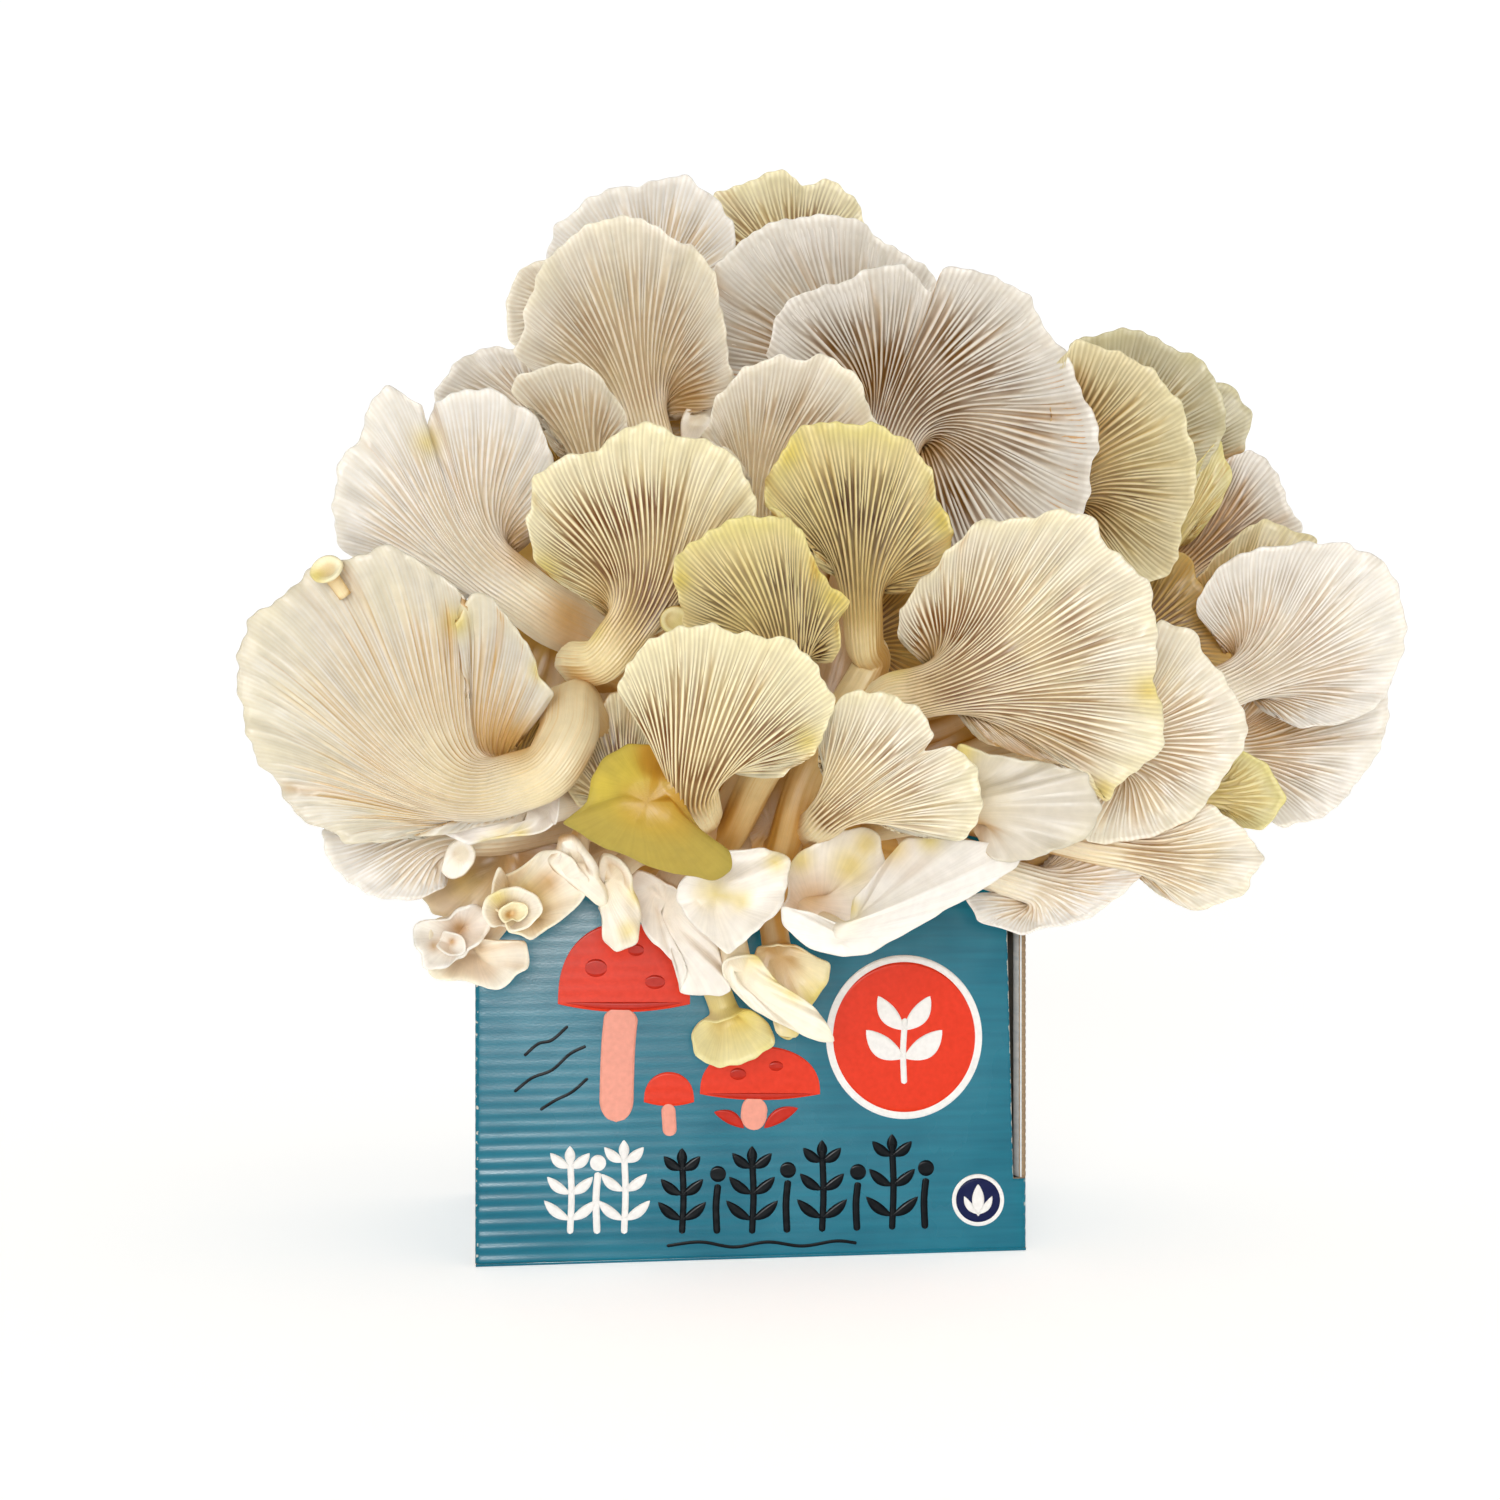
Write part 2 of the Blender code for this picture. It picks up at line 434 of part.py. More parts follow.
def add_object(name, points, faces, colour):
    mesh = bpy.data.meshes.new(name)
    mesh.from_pydata([tuple(p) for p in points], [], faces)
    work = bmesh.new()
    work.from_mesh(mesh)
    bmesh.ops.recalc_face_normals(work, faces=work.faces)
    if work.calc_volume(signed=True) < 0:
        bmesh.ops.reverse_faces(work, faces=work.faces)
    work.to_mesh(mesh)
    work.free()
    made = bpy.data.objects.new(name, mesh)
    bpy.context.scene.collection.objects.link(made)
    mesh.materials.append(material(colour))
    mesh.shade_smooth()
    mesh.set_sharp_from_angle(angle=math.radians(SHARP))
    return made


def material(name):
    found = bpy.data.materials.get(name)
    if found:
        return found
    made = bpy.data.materials.new(name)
    made.use_nodes = True
    shader = made.node_tree.nodes["Principled BSDF"]
    shader.inputs["Base Color"].default_value = (*COLOURS[name], 1.0)
    shader.inputs["Roughness"].default_value = 0.6
    shader.inputs["Metallic"].default_value = 0.0
    return made


def cuboid(name, low, high, colour):
    """A box from its lowest to its highest corner, in mm."""
    (x0, y0, z0), (x1, y1, z1) = low, high
    points = np.array([(x, y, z) for z in (z0, z1) for y in (y0, y1) for x in (x0, x1)]) * MM
    faces = [(0, 2, 3, 1), (4, 5, 7, 6), (0, 1, 5, 4), (2, 6, 7, 3), (0, 4, 6, 2), (1, 3, 7, 5)]
    return add_object(name, points, faces, colour)


def cut(target, cutter, solver="EXACT"):
    """Takes `cutter` out of `target` and removes the cutter. A folded cap may cross itself,
    so the mushrooms are cut with the manifold solver."""
    modifier = target.modifiers.new("cut", "BOOLEAN")
    modifier.operation = "DIFFERENCE"
    modifier.solver = solver
    modifier.object = cutter
    apply_modifiers(target)
    bpy.data.objects.remove(cutter)


def apply_modifiers(target):
    """Keeps the evaluated mesh and drops the modifiers that made it."""
    bpy.context.view_layer.update()
    shape = bpy.data.meshes.new_from_object(target.evaluated_get(bpy.context.evaluated_depsgraph_get()))
    target.modifiers.clear()
    target.data = shape
    shape.set_sharp_from_angle(angle=math.radians(SHARP))


def build_carton():
    """One folded sheet: five walls and the front panel, with the window and the open seam."""
    x, y, z = CARTON_WIDTH / 2, CARTON_DEPTH / 2, CARTON_HEIGHT
    carton = cuboid("carton", (-x, -y, 0), (x, y, z), "carton")
    low, high = (-x + BOARD, -y + BOARD, BOARD), (x - BOARD, y - BOARD, z - BOARD)
    cut(carton, cuboid("inside", low, high, "carton"))
    w = WINDOW
    cut(carton, cuboid("window", (w["left"], -y - 5, w["bottom"]), (w["right"], -y + 5, w["top"]), "carton"))
    wall = x - BOARD  # the seam is wider at its top than at its bottom
    outline = [
        (wall - SEAM["narrow"], SEAM["bottom"]),
        (wall, SEAM["bottom"]),
        (wall, SEAM["top"]),
        (wall - SEAM["wide"], SEAM["top"]),
    ]
    points = [(px * MM, py * MM, pz * MM) for py in (-y - 5, -y + BOARD + 0.01) for px, pz in outline]
    faces = [(0, 1, 2, 3), (7, 6, 5, 4), (0, 4, 5, 1), (1, 5, 6, 2), (2, 6, 7, 3), (3, 7, 4, 0)]
    cut(carton, add_object("seam", points, faces, "carton"))


def build_block():
    """The bagged block of substrate, which fills most of the carton."""
    x, y = BLOCK_WIDTH / 2, BLOCK_DEPTH / 2
    base = BOARD + GAP
    block = cuboid("grow_block", (-x, -y, base), (x, y, base + BLOCK_HEIGHT), "block")
    bevel = block.modifiers.new("round", "BEVEL")
    bevel.width = BLOCK_EDGE * MM
    bevel.segments = 3
    apply_modifiers(block)


def build_butts():
    """The lump of fused stem butts: it fills the window and bulges out in front of it."""
    sides = 20
    turn = 2 * math.pi * np.arange(sides) / sides
    wave = 1 + 0.05 * np.sin(5 * turn + 0.6)
    wide = np.sign(np.cos(turn)) * np.abs(np.cos(turn)) ** 0.8
    tall = np.sign(np.sin(turn)) * np.abs(np.sin(turn)) ** 0.8
    rings = []
    for stage, lumpy in (("neck", 1.0), ("front", wave)):
        for forward, half_x, half_z in LUMP[stage]:
            x = LUMP["x"] + half_x * wide * lumpy
            z = LUMP["z"] + half_z * tall * lumpy
            rings.append(np.column_stack([x, np.full(sides, -CARTON_DEPTH / 2 - forward), z]))
    start = np.array([LUMP["x"], rings[0][0, 1], LUMP["z"]])
    end = np.array([LUMP["x"], -CARTON_DEPTH / 2 - LUMP["tip"], LUMP["z"]])
    points, faces = skin(rings, start, end)
    return add_object("stem_butts", points, faces, "butt")


def tree_of(obj):
    return BVHTree.FromPolygons([v.co for v in obj.data.vertices], [p.vertices for p in obj.data.polygons])


def boxes_meet(a, b):
    low_a, high_a = corners(a)
    low_b, high_b = corners(b)
    return bool((low_a <= high_b).all() and (low_b <= high_a).all())


def corners(obj):
    points = np.array([v.co for v in obj.data.vertices])
    return points.min(0), points.max(0)


def swollen(obj, by):
    """A copy of a piece with its skin moved outwards."""
    copy = bpy.data.objects.new("cutter", obj.data.copy())
    bpy.context.scene.collection.objects.link(copy)
    for vertex, normal in zip(copy.data.vertices, [n.vector.copy() for n in obj.data.vertex_normals]):
        vertex.co = vertex.co + Vector(normal) * by * MM
    return copy


def clean(obj):
    """Closes the hair-thin faces that a cut leaves and drops its crumbs."""
    work = bmesh.new()
    work.from_mesh(obj.data)
    bmesh.ops.dissolve_degenerate(work, dist=CRUMB * MM, edges=work.edges)
    bmesh.ops.triangulate(work, faces=work.faces)
    left, islands = set(work.faces), []
    while left:
        todo, island = [left.pop()], []
        while todo:
            face = todo.pop()
            island.append(face)
            near = {other for edge in face.edges for other in edge.link_faces} & left
            left -= near
            todo += near
        islands.append(island)
    islands.sort(key=len)
    for island in islands[:-1]:
        bmesh.ops.delete(work, geom=island, context="FACES")
    work.to_mesh(obj.data)
    work.free()


def is_sound(obj):
    """Whether every edge has two faces, also with the points that lie together made one."""
    points = np.array([v.co for v in obj.data.vertices]) / (CRUMB * MM)
    place = np.unique(np.round(points).astype(int), axis=0, return_inverse=True)[1].ravel()
    sides = {}
    for face in obj.data.polygons:
        ring = [place[i] for i in face.vertices]
        for a, b in zip(ring, ring[1:] + ring[:1]):
            sides[min(a, b), max(a, b)] = sides.get((min(a, b), max(a, b)), 0) + 1
    return all(count == 2 for (a, b), count in sides.items() if a != b)


def crosses(piece, other):
    """Whether a piece comes nearer to another than the smallest gap."""
    if not boxes_meet(piece, other):
        return False
    shell = swollen(other, GAP - GAP_STEP)
    found = bool(tree_of(piece).overlap(tree_of(shell)))
    bpy.data.objects.remove(shell)
    return found


def make_room(piece, others):
    """Cuts a piece back from the pieces in front of it that press into it, leaving the gap.
    Where a cut comes out torn, or a fold lies in two layers, a slightly wider one follows."""
    for other in others:
        for turn in range(MOST_CUTS):
            if not crosses(piece, other):
                break
            before = piece.data.copy()
            cut(piece, swollen(other, GAP + turn * GAP_STEP), "MANIFOLD")
            clean(piece)
            if not is_sound(piece):
                piece.data = before


def main():
    for obj in list(bpy.data.objects):
        bpy.data.objects.remove(obj)
    build_carton()
    build_block()
    placed = [build_butts()]
    carton = bpy.data.objects["carton"]
    for spec in MUSHROOMS:
        start, rings, end = mushroom_rings(spec)
        points, faces = skin(rings, start, end)
        colour = "yellow" if "yellow" in spec["name"] else "mushroom"
        piece = add_object(spec["name"], points, faces, colour)
        make_room(piece, [*placed, carton])
        placed.append(piece)


main()
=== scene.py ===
import math

import bpy
import numpy as np
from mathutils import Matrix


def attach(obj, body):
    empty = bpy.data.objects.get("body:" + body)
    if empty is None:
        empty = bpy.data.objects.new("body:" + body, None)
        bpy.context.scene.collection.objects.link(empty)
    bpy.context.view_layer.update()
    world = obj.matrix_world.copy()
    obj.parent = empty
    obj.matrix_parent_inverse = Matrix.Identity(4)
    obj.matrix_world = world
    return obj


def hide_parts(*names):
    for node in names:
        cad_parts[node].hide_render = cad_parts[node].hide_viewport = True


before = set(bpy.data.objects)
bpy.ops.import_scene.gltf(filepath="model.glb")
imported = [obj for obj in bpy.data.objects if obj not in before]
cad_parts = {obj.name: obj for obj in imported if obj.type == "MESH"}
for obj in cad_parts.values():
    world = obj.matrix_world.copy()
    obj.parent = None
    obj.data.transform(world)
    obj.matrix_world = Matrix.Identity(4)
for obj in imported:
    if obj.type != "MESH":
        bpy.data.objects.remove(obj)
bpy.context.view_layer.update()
print("frame loaded:", len(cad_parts), "nodes")

mm = 0.001

# the eye of the photograph: level, a little to the left, its pixels on a 1500 x 1500 frame
eye = dict(turn=math.radians(7), distance=750.0, height=186.0, aimX=-2.0, focal=2054.0, middle=750.0,
           sensor=36.0)
carton = dict(
    width=203.0, depth=127.0, height=203.0, board=2.5,
    fold=1.6, crease=1.2,  # radius of the upright folds and of the flaps' creases
    flute=4.4, rib=0.02,  # the flutes press through the liner: their spacing, and the ribs' height
    crushed=0.26,  # how much higher the ribs are by the folds and where the board was squeezed,
    squeezed=dict(x=-101.0, z=14.0, wide=58.0, tall=42.0),  # around the lower left corner
    window=dict(left=-68.0, right=70.0, bottom=134.0, top=186.0),
    seam=dict(bottom=27.0, top=176.0, wide=6.4, narrow=2.6),  # open beside the right wall
    lip=1.2,  # how far the right wall's inner liner is bent into the seam
    slit=0.7, flapClear=0.2,  # the gap between two flaps, and beside the walls at their ends
    rows=230,  # of points up the walls, so that each rib has several
    corner=-93.5, seamStart=88.0,  # x of the panel's outer columns, by the left fold and the seam
    wornEdge=0.7,  # width of the strip worn pale along the seam
    teal="#05677c", tealDark="#055c71", liner="#8d8573", kraft="#6e5636", wornAndGlint="#dcd5c4",
)
ahead = np.array([math.sin(eye["turn"]), math.cos(eye["turn"]), 0.0])
rightward = np.array([math.cos(eye["turn"]), -math.sin(eye["turn"]), 0.0])
upward = np.array([0.0, 0.0, 1.0])
eyePoint = np.array([eye["aimX"], -carton["depth"] / 2, eye["height"]]) - eye["distance"] * ahead


def unit(v):
    return v / np.maximum(np.linalg.norm(v, axis=-1, keepdims=True), 1e-9)


def ease(x, low, high):  # 0 below low, 1 above high, smooth between
    t = np.clip((x - low) / (high - low), 0, 1)
    return t * t * (3 - 2 * t)


def sight(px, py, forward):
    # where the ray through a pixel meets the plane that stands `forward` mm in front of the panel
    px, py, forward = np.broadcast_arrays(*[np.asarray(v, float) for v in (px, py, forward)])
    right, low = px - eye["middle"], py - eye["middle"]
    ray = ahead * eye["focal"] + rightward * right[..., None] - upward * low[..., None]
    reach = (-carton["depth"] / 2 - forward - eyePoint[1]) / ray[..., 1]
    return eyePoint + ray * reach[..., None]


def pixelOf(points):  # the other way round: the pixel that a point is seen at
    away = points - eyePoint
    scale = eye["focal"] / (away @ ahead)
    return eye["middle"] + scale * (away @ rightward), eye["middle"] - scale * (away @ upward)


def linear(hexColour):
    values = np.array([int(hexColour[i : i + 2], 16) / 255 for i in (1, 3, 5)])
    low, high = values / 12.92, ((values + 0.055) / 1.055) ** 2.4
    return (*np.where(values <= 0.04045, low, high), 1.0)


def feed(tree, node, inputs):  # inputs set, or linked where the value is a socket
    for key, value in dict(inputs).items():
        if isinstance(value, bpy.types.NodeSocket):
            tree.links.new(value, node.inputs[key])
        else:
            node.inputs[key].default_value = value


def put(tree, kind, inputs=(), **settings):  # a node with its settings, and its inputs fed
    node = tree.nodes.new(kind)
    for key, value in settings.items():
        setattr(node, key, value)
    feed(tree, node, inputs)
    return node


def newMaterial(name, roughness=0.5, ior=1.45):
    made = bpy.data.materials.new(name)
    made.use_nodes = True
    shader = made.node_tree.nodes["Principled BSDF"]
    feed(made.node_tree, shader, {"Roughness": roughness, "IOR": ior})
    return made, made.node_tree, shader


# the tones of the flesh: gills and skin, the painted shade between the gills, at the rim, hub and
# stem, and the foot; hub and foot are partly painted shade. Then how strongly these show: the
# painted shade between the gills, the painted gold shade on their sides, hub and rim
toneParts = ("flesh", "gap", "rim", "hub", "stem", "foot", "gapShadeAmount", "sideShadeAmount", "hubTintAndShadeAmount", "rimAmount")
fleshTones = dict(
    cream=("#f7edca", "#6a3a00", "#f0e6ba", "#d6a44c", "#f3e2b4", "#d0942c", 1.0, 0.5, 0.45, 0.45),
    butter=("#f5ecd8", "#74450a", "#f0e6ba", "#d8b064", "#f3e4bd", "#cf9f4c", 1.0, 0.4, 0.4, 0.5),
    ivory=("#f6eee0", "#865508", "#f0e7c6", "#e0cb98", "#f3e5c6", "#d09c44", 0.68, 0.3, 0.4, 0.35),
    white=("#f3ede4", "#8a6834", "#f0eadb", "#e0d0ae", "#f1e6cd", "#d0aa6c", 0.7, 0.1, 0.35, 0.3),
    snow=("#f4efe8", "#a8843f", "#f0eadb", "#ebddba", "#f2e8cf", "#d6b47c", 0.55, 0.1, 0.3, 0.3),
    # satin and pearl: the snow's flesh darkened, painted shade for smooth caps that stand in less light
    shadedSatin=("#ddd6ca", "#a8843f", "#e2d8b4", "#dcc596", "#e6d6b0", "#cfa660", 0.4, 0.2, 0.35, 0.3),
    shadedPearl=("#d2cabb", "#a8843f", "#dcd2ae", "#d2bb8a", "#e6d6b0", "#cfa660", 0.5, 0.2, 0.35, 0.3),
    pale=("#efe9e0", "#6a4408", "#e8e2d6", "#c4aa7c", "#eedfc0", "#c99650", 1.0, 0.15, 0.45, 0.3),
    yellow=("#eedca6", "#401a00", "#e2d688", "#a5691a", "#f1dfae", "#c39345", 1.0, 0.6, 0.5, 0.75),
    tan=("#eadcb4", "#5c370c", "#e2d9b0", "#a8752e", "#ead2a2", "#c69345", 1.0, 0.6, 0.5, 0.5),
    olive=("#b09a45", "#8a7430", "#a89643", "#c29a2c", "#c9a546", "#b2843f", 0.2, 0.0, 0.5, 0.8),
    moss=("#d2cbb0", "#6e5826", "#cfc79c", "#aa9454", "#d4c18a", "#a97c34", 0.85, 0.3, 0.5, 0.6),
    # the ochre tone is painted shade: for the filler sheets and a cap deep in shadow
    ochreShade=("#d2b06a", "#6a4517", "#cfb470", "#96682c", "#cda766", "#ad7f38", 0.9, 0.4, 0.6, 0.5),
    lemon=("#e9dfa8", "#97782a", "#ddd07a", "#cfb455", "#e8d79c", "#c09654", 0.6, 0.35, 0.4, 0.6),
)
# yellow is the flesh's own stain; the other three are painted shade: ochre in the hollows, brown where caps crowd,
# gold on the gills' walls
stains = dict(yellow="#e0c94e", ochreShade="#bf8a2c", crowdShade="#c0861c", side="#ead58c")


def mushroomFlesh(name):
    # oyster mushroom, grown: a thin moist skin over white flesh. Light sinks in a little and the
    # gloss is soft and broad. The brown between the gills and the gold on their walls are painted shade.
    tone = dict(zip(toneParts, fleshTones[name]))
    made, tree, shader = newMaterial("oyster_mushroom_" + name, ior=1.4)
    parts = {key: put(tree, "ShaderNodeAttribute", attribute_name=key).outputs["Fac"]
             for key in ("gap", "reach", "yellow", "ochreShade", "crowdShade")}
    grain = put(tree, "ShaderNodeAttribute", attribute_name="grain").outputs["Vector"]
    place = put(tree, "ShaderNodeTexCoord").outputs["Object"]
    drawn = put(tree, "ShaderNodeMapping", {"Vector": grain, "Scale": (1.0, 1.0, 0.05)}).outputs["Vector"]
    for key, where, scale, detail in (("cloud", place, 32.0, 3.0),  # 30 mm
                                      ("mottle", place, 260.0, 2.0),  # 4 mm
                                      ("fibre", drawn, 800.0, 2.0)):  # 1.3 mm across
        noise = put(tree, "ShaderNodeTexNoise", {"Vector": where, "Scale": scale, "Detail": detail})
        parts[key] = noise.outputs["Fac"]

    # each share is read from a part: none at the first value, all at the second, then its range
    # the brown between the gills and the gold on their walls are painted shade, the gills' own shadows painted in
    for key, source, low, high, least, most in (
            ("tinted", "cloud", 0.42, 0.7, 0.0, 0.35), ("hubTintAndShade", "reach", 0.7, 0.0, 0.0, tone["hubTintAndShadeAmount"]),
            ("onStem", "reach", 0.0, -0.2, 0.0, 1.0), ("footTintAndShade", "reach", -0.35, -1.0, 0.0, 0.6),
            ("fibrous", "fibre", 0.5, 0.72, 0.0, 0.4), ("atRim", "reach", 0.8, 1.0, 0.0, 1.0),
            ("rimCloud", "cloud", 0.3, 0.6, 0.1, tone["rimAmount"]), ("inward", "reach", 1.0, 0.62, 0.2, 1.0),
            ("gapShade", "gap", 0.2, 0.8, 0.0, tone["gapShadeAmount"]), ("side", "gap", 0.05, 0.5, 0.0, tone["sideShadeAmount"])):
        parts[key] = put(tree, "ShaderNodeMapRange", {0: parts[source], 1: low, 2: high, 3: least, 4: most},
                         interpolation_type="SMOOTHSTEP").outputs[0]
    fade = {0: parts["cloud"], 1: 0.38, 2: 0.62, 3: 1.0, 4: 0.55}
    parts["uneven"] = put(tree, "ShaderNodeMapRange", fade).outputs[0]
    for key, other in (("fibrous", "onStem"), ("atRim", "rimCloud"), ("gapShade", "inward"), ("side", "inward"),
                       ("gapShade", "uneven")):
        parts[key] = put(tree, "ShaderNodeMath", {0: parts[key], 1: parts[other]}, operation="MULTIPLY").outputs[0]

    # the hub's and the foot's tones are partly the flesh's own, partly painted shade where it lies deep
    colour = linear(tone["flesh"])
    layers = dict(tinted=tone["rim"], hubTintAndShade=tone["hub"], onStem=tone["stem"], footTintAndShade=tone["foot"],
                  fibrous=tone["foot"], atRim=tone["rim"], **stains, gapShade=tone["gap"])
    for key, layer in layers.items():
        colour = put(tree, "ShaderNodeMix", {0: parts[key], 6: colour, 7: linear(layer)}, data_type="RGBA").outputs[2]
    streak = put(tree, "ShaderNodeMapRange", {0: parts["fibre"], 1: 0.3, 2: 0.75, 3: 0.95, 4: 1.04}).outputs[0]
    speck = put(tree, "ShaderNodeMapRange", {0: parts["mottle"], 1: 0.3, 2: 0.7, 3: 0.95, 4: 1.03}).outputs[0]
    shade = put(tree, "ShaderNodeMath", {0: streak, 1: speck}, operation="MULTIPLY").outputs[0]
    shade = put(tree, "ShaderNodeCombineColor", {0: shade, 1: shade, 2: shade}).outputs[0]
    colour = put(tree, "ShaderNodeMix", {0: 1.0, 6: colour, 7: shade}, data_type="RGBA", blend_type="MULTIPLY")
    rough = put(tree, "ShaderNodeMapRange", {0: parts["mottle"], 1: 0.25, 2: 0.75, 3: 0.42, 4: 0.58}).outputs[0]
    height = put(tree, "ShaderNodeMath", {0: parts["fibre"], 1: parts["mottle"]}, operation="ADD").outputs[0]
    bump = put(tree, "ShaderNodeBump", {"Height": height, "Strength": 0.3, "Distance": 0.0004})
    feed(tree, shader, {"Base Color": colour.outputs[2], "Roughness": rough, "Normal": bump.outputs["Normal"],
                        "Specular IOR Level": 0.2, "Subsurface Weight": 0.1, "Subsurface Scale": 0.003,
                        "Subsurface Radius": (1.0, 0.85, 0.6)})
    return made


fleshes = {name: mushroomFlesh(name) for name in fleshTones}
print("flesh mixed in", len(fleshes), "tones")


def bridge(a, countA, b, countB):
    # the triangles between two closed rings, the second with as many points, half or twice as many
    if countB > countA:
        return bridge(b, countB, a, countA)[:, ::-1]
    j = np.arange(countB)
    k = (j + 1) % countB
    if countA == countB:
        return np.vstack([np.column_stack([a + j, a + k, b + k]), np.column_stack([a + j, b + k, b + j])])
    near, mid, far = a + 2 * j, a + 2 * j + 1, a + (2 * j + 2) % countA
    return np.vstack([np.column_stack(t) for t in ((near, mid, b + j), (mid, b + k, b + j), (mid, far, b + k))])


def closedSkin(rings, start, end):
    # one closed surface through rings, from a start point to an end point
    counts = [len(r) for r in rings]
    first = 1 + np.concatenate([[0], np.cumsum(counts)])
    last = int(first[-1])
    points = np.vstack([start, *rings, end])
    j = np.arange(counts[0])
    faces = [np.column_stack([np.zeros_like(j), first[0] + (j + 1) % counts[0], first[0] + j])]
    for i in range(len(rings) - 1):
        faces.append(bridge(int(first[i]), counts[i], int(first[i + 1]), counts[i + 1]))
    j = np.arange(counts[-1])
    faces.append(np.column_stack([first[-2] + j, first[-2] + (j + 1) % counts[-1], np.full_like(j, last)]))
    faces = np.vstack(faces)
    a, b, c = points[faces[:, 0]], points[faces[:, 1]], points[faces[:, 2]]
    if np.einsum("ij,ij->i", a, np.cross(b, c)).sum() < 0:
        faces = faces[:, ::-1]
    return points, faces


def addMesh(name, points, faces, materials, values=(), slots=None):
    # points in mm and rows of faces, with named values for the points and a material slot for each face
    mesh = bpy.data.meshes.new(name)
    faces = np.asarray(faces)
    mesh.vertices.add(len(points))
    mesh.vertices.foreach_set("co", (np.asarray(points) * mm).astype(np.float32).ravel())
    mesh.loops.add(faces.size)
    mesh.loops.foreach_set("vertex_index", faces.astype(np.int32).ravel())
    mesh.polygons.add(len(faces))
    mesh.polygons.foreach_set("loop_start", np.arange(0, faces.size, faces.shape[1], dtype=np.int32))
    mesh.update(calc_edges=True)
    for material in materials:
        mesh.materials.append(material)
    if slots is not None:
        mesh.polygons.foreach_set("material_index", np.asarray(slots, np.int32))
    for key, value in dict(values).items():
        kind, part = ("FLOAT_VECTOR", "vector") if np.ndim(value) == 2 else ("FLOAT", "value")
        mesh.attributes.new(key, kind, "POINT").data.foreach_set(part, value.astype(np.float32).ravel())
    mesh.validate()
    mesh.shade_smooth()
    made = bpy.data.objects.new(name, mesh)
    bpy.context.scene.collection.objects.link(made)
    return made


def joined(skins):  # the points and the faces of several skins, as one
    starts = np.concatenate([[0], np.cumsum([len(points) for points, _ in skins])])
    return (np.vstack([points for points, _ in skins]),
            np.vstack([faces + start for (_, faces), start in zip(skins, starts)]))


def thicken(piece, name, thickness):  # a wall that grows inwards from the outer face
    wall = piece.modifiers.new(name, "SOLIDIFY")
    wall.thickness, wall.offset = thickness * mm, -1.0
    return wall


def gridFaces(rows, columns, around=False):
    # the quads of a grid of points, row after row; around closes each row on itself
    i, j = np.meshgrid(np.arange(rows - 1), np.arange(columns if around else columns - 1), indexing="ij")
    k = (j + 1) % columns
    return np.stack([i * columns + j, i * columns + k, (i + 1) * columns + k, (i + 1) * columns + j], -1)


usualMushroom = dict(
    across=0.0, up=0.0, lean=0.0, back=False, tone="cream", rooted=True, yellow=(), ochreShade=(), folds=(),
    smooth=False,  # no gills on the side that faces the front
    pitch=5.1,  # pixels from gill to gill along the margin
    gill=1.7,  # how deep the gills are, mm
    ruffle=2.0, scallop=0.6,  # height of the waves near the margin and of its lobes, mm
    edge=1.1,  # thickness at the margin
    crowdShadeShare=1.0,  # how much painted shade, a brown, it takes where others stand close
)
bud = dict(back=True, rooted=False, thick=2.5)  # a young cap on a stem of its own
curl = dict(smooth=True, rooted=False)  # a frill rolled up inside a cap
filler = dict(tone="ochreShade", thick=5)  # dark ochre flesh put between the caps as painted shade
butts = dict(x=1.0, z=160.0, halfX=72.0, halfZ=34.0, tip=33.0)
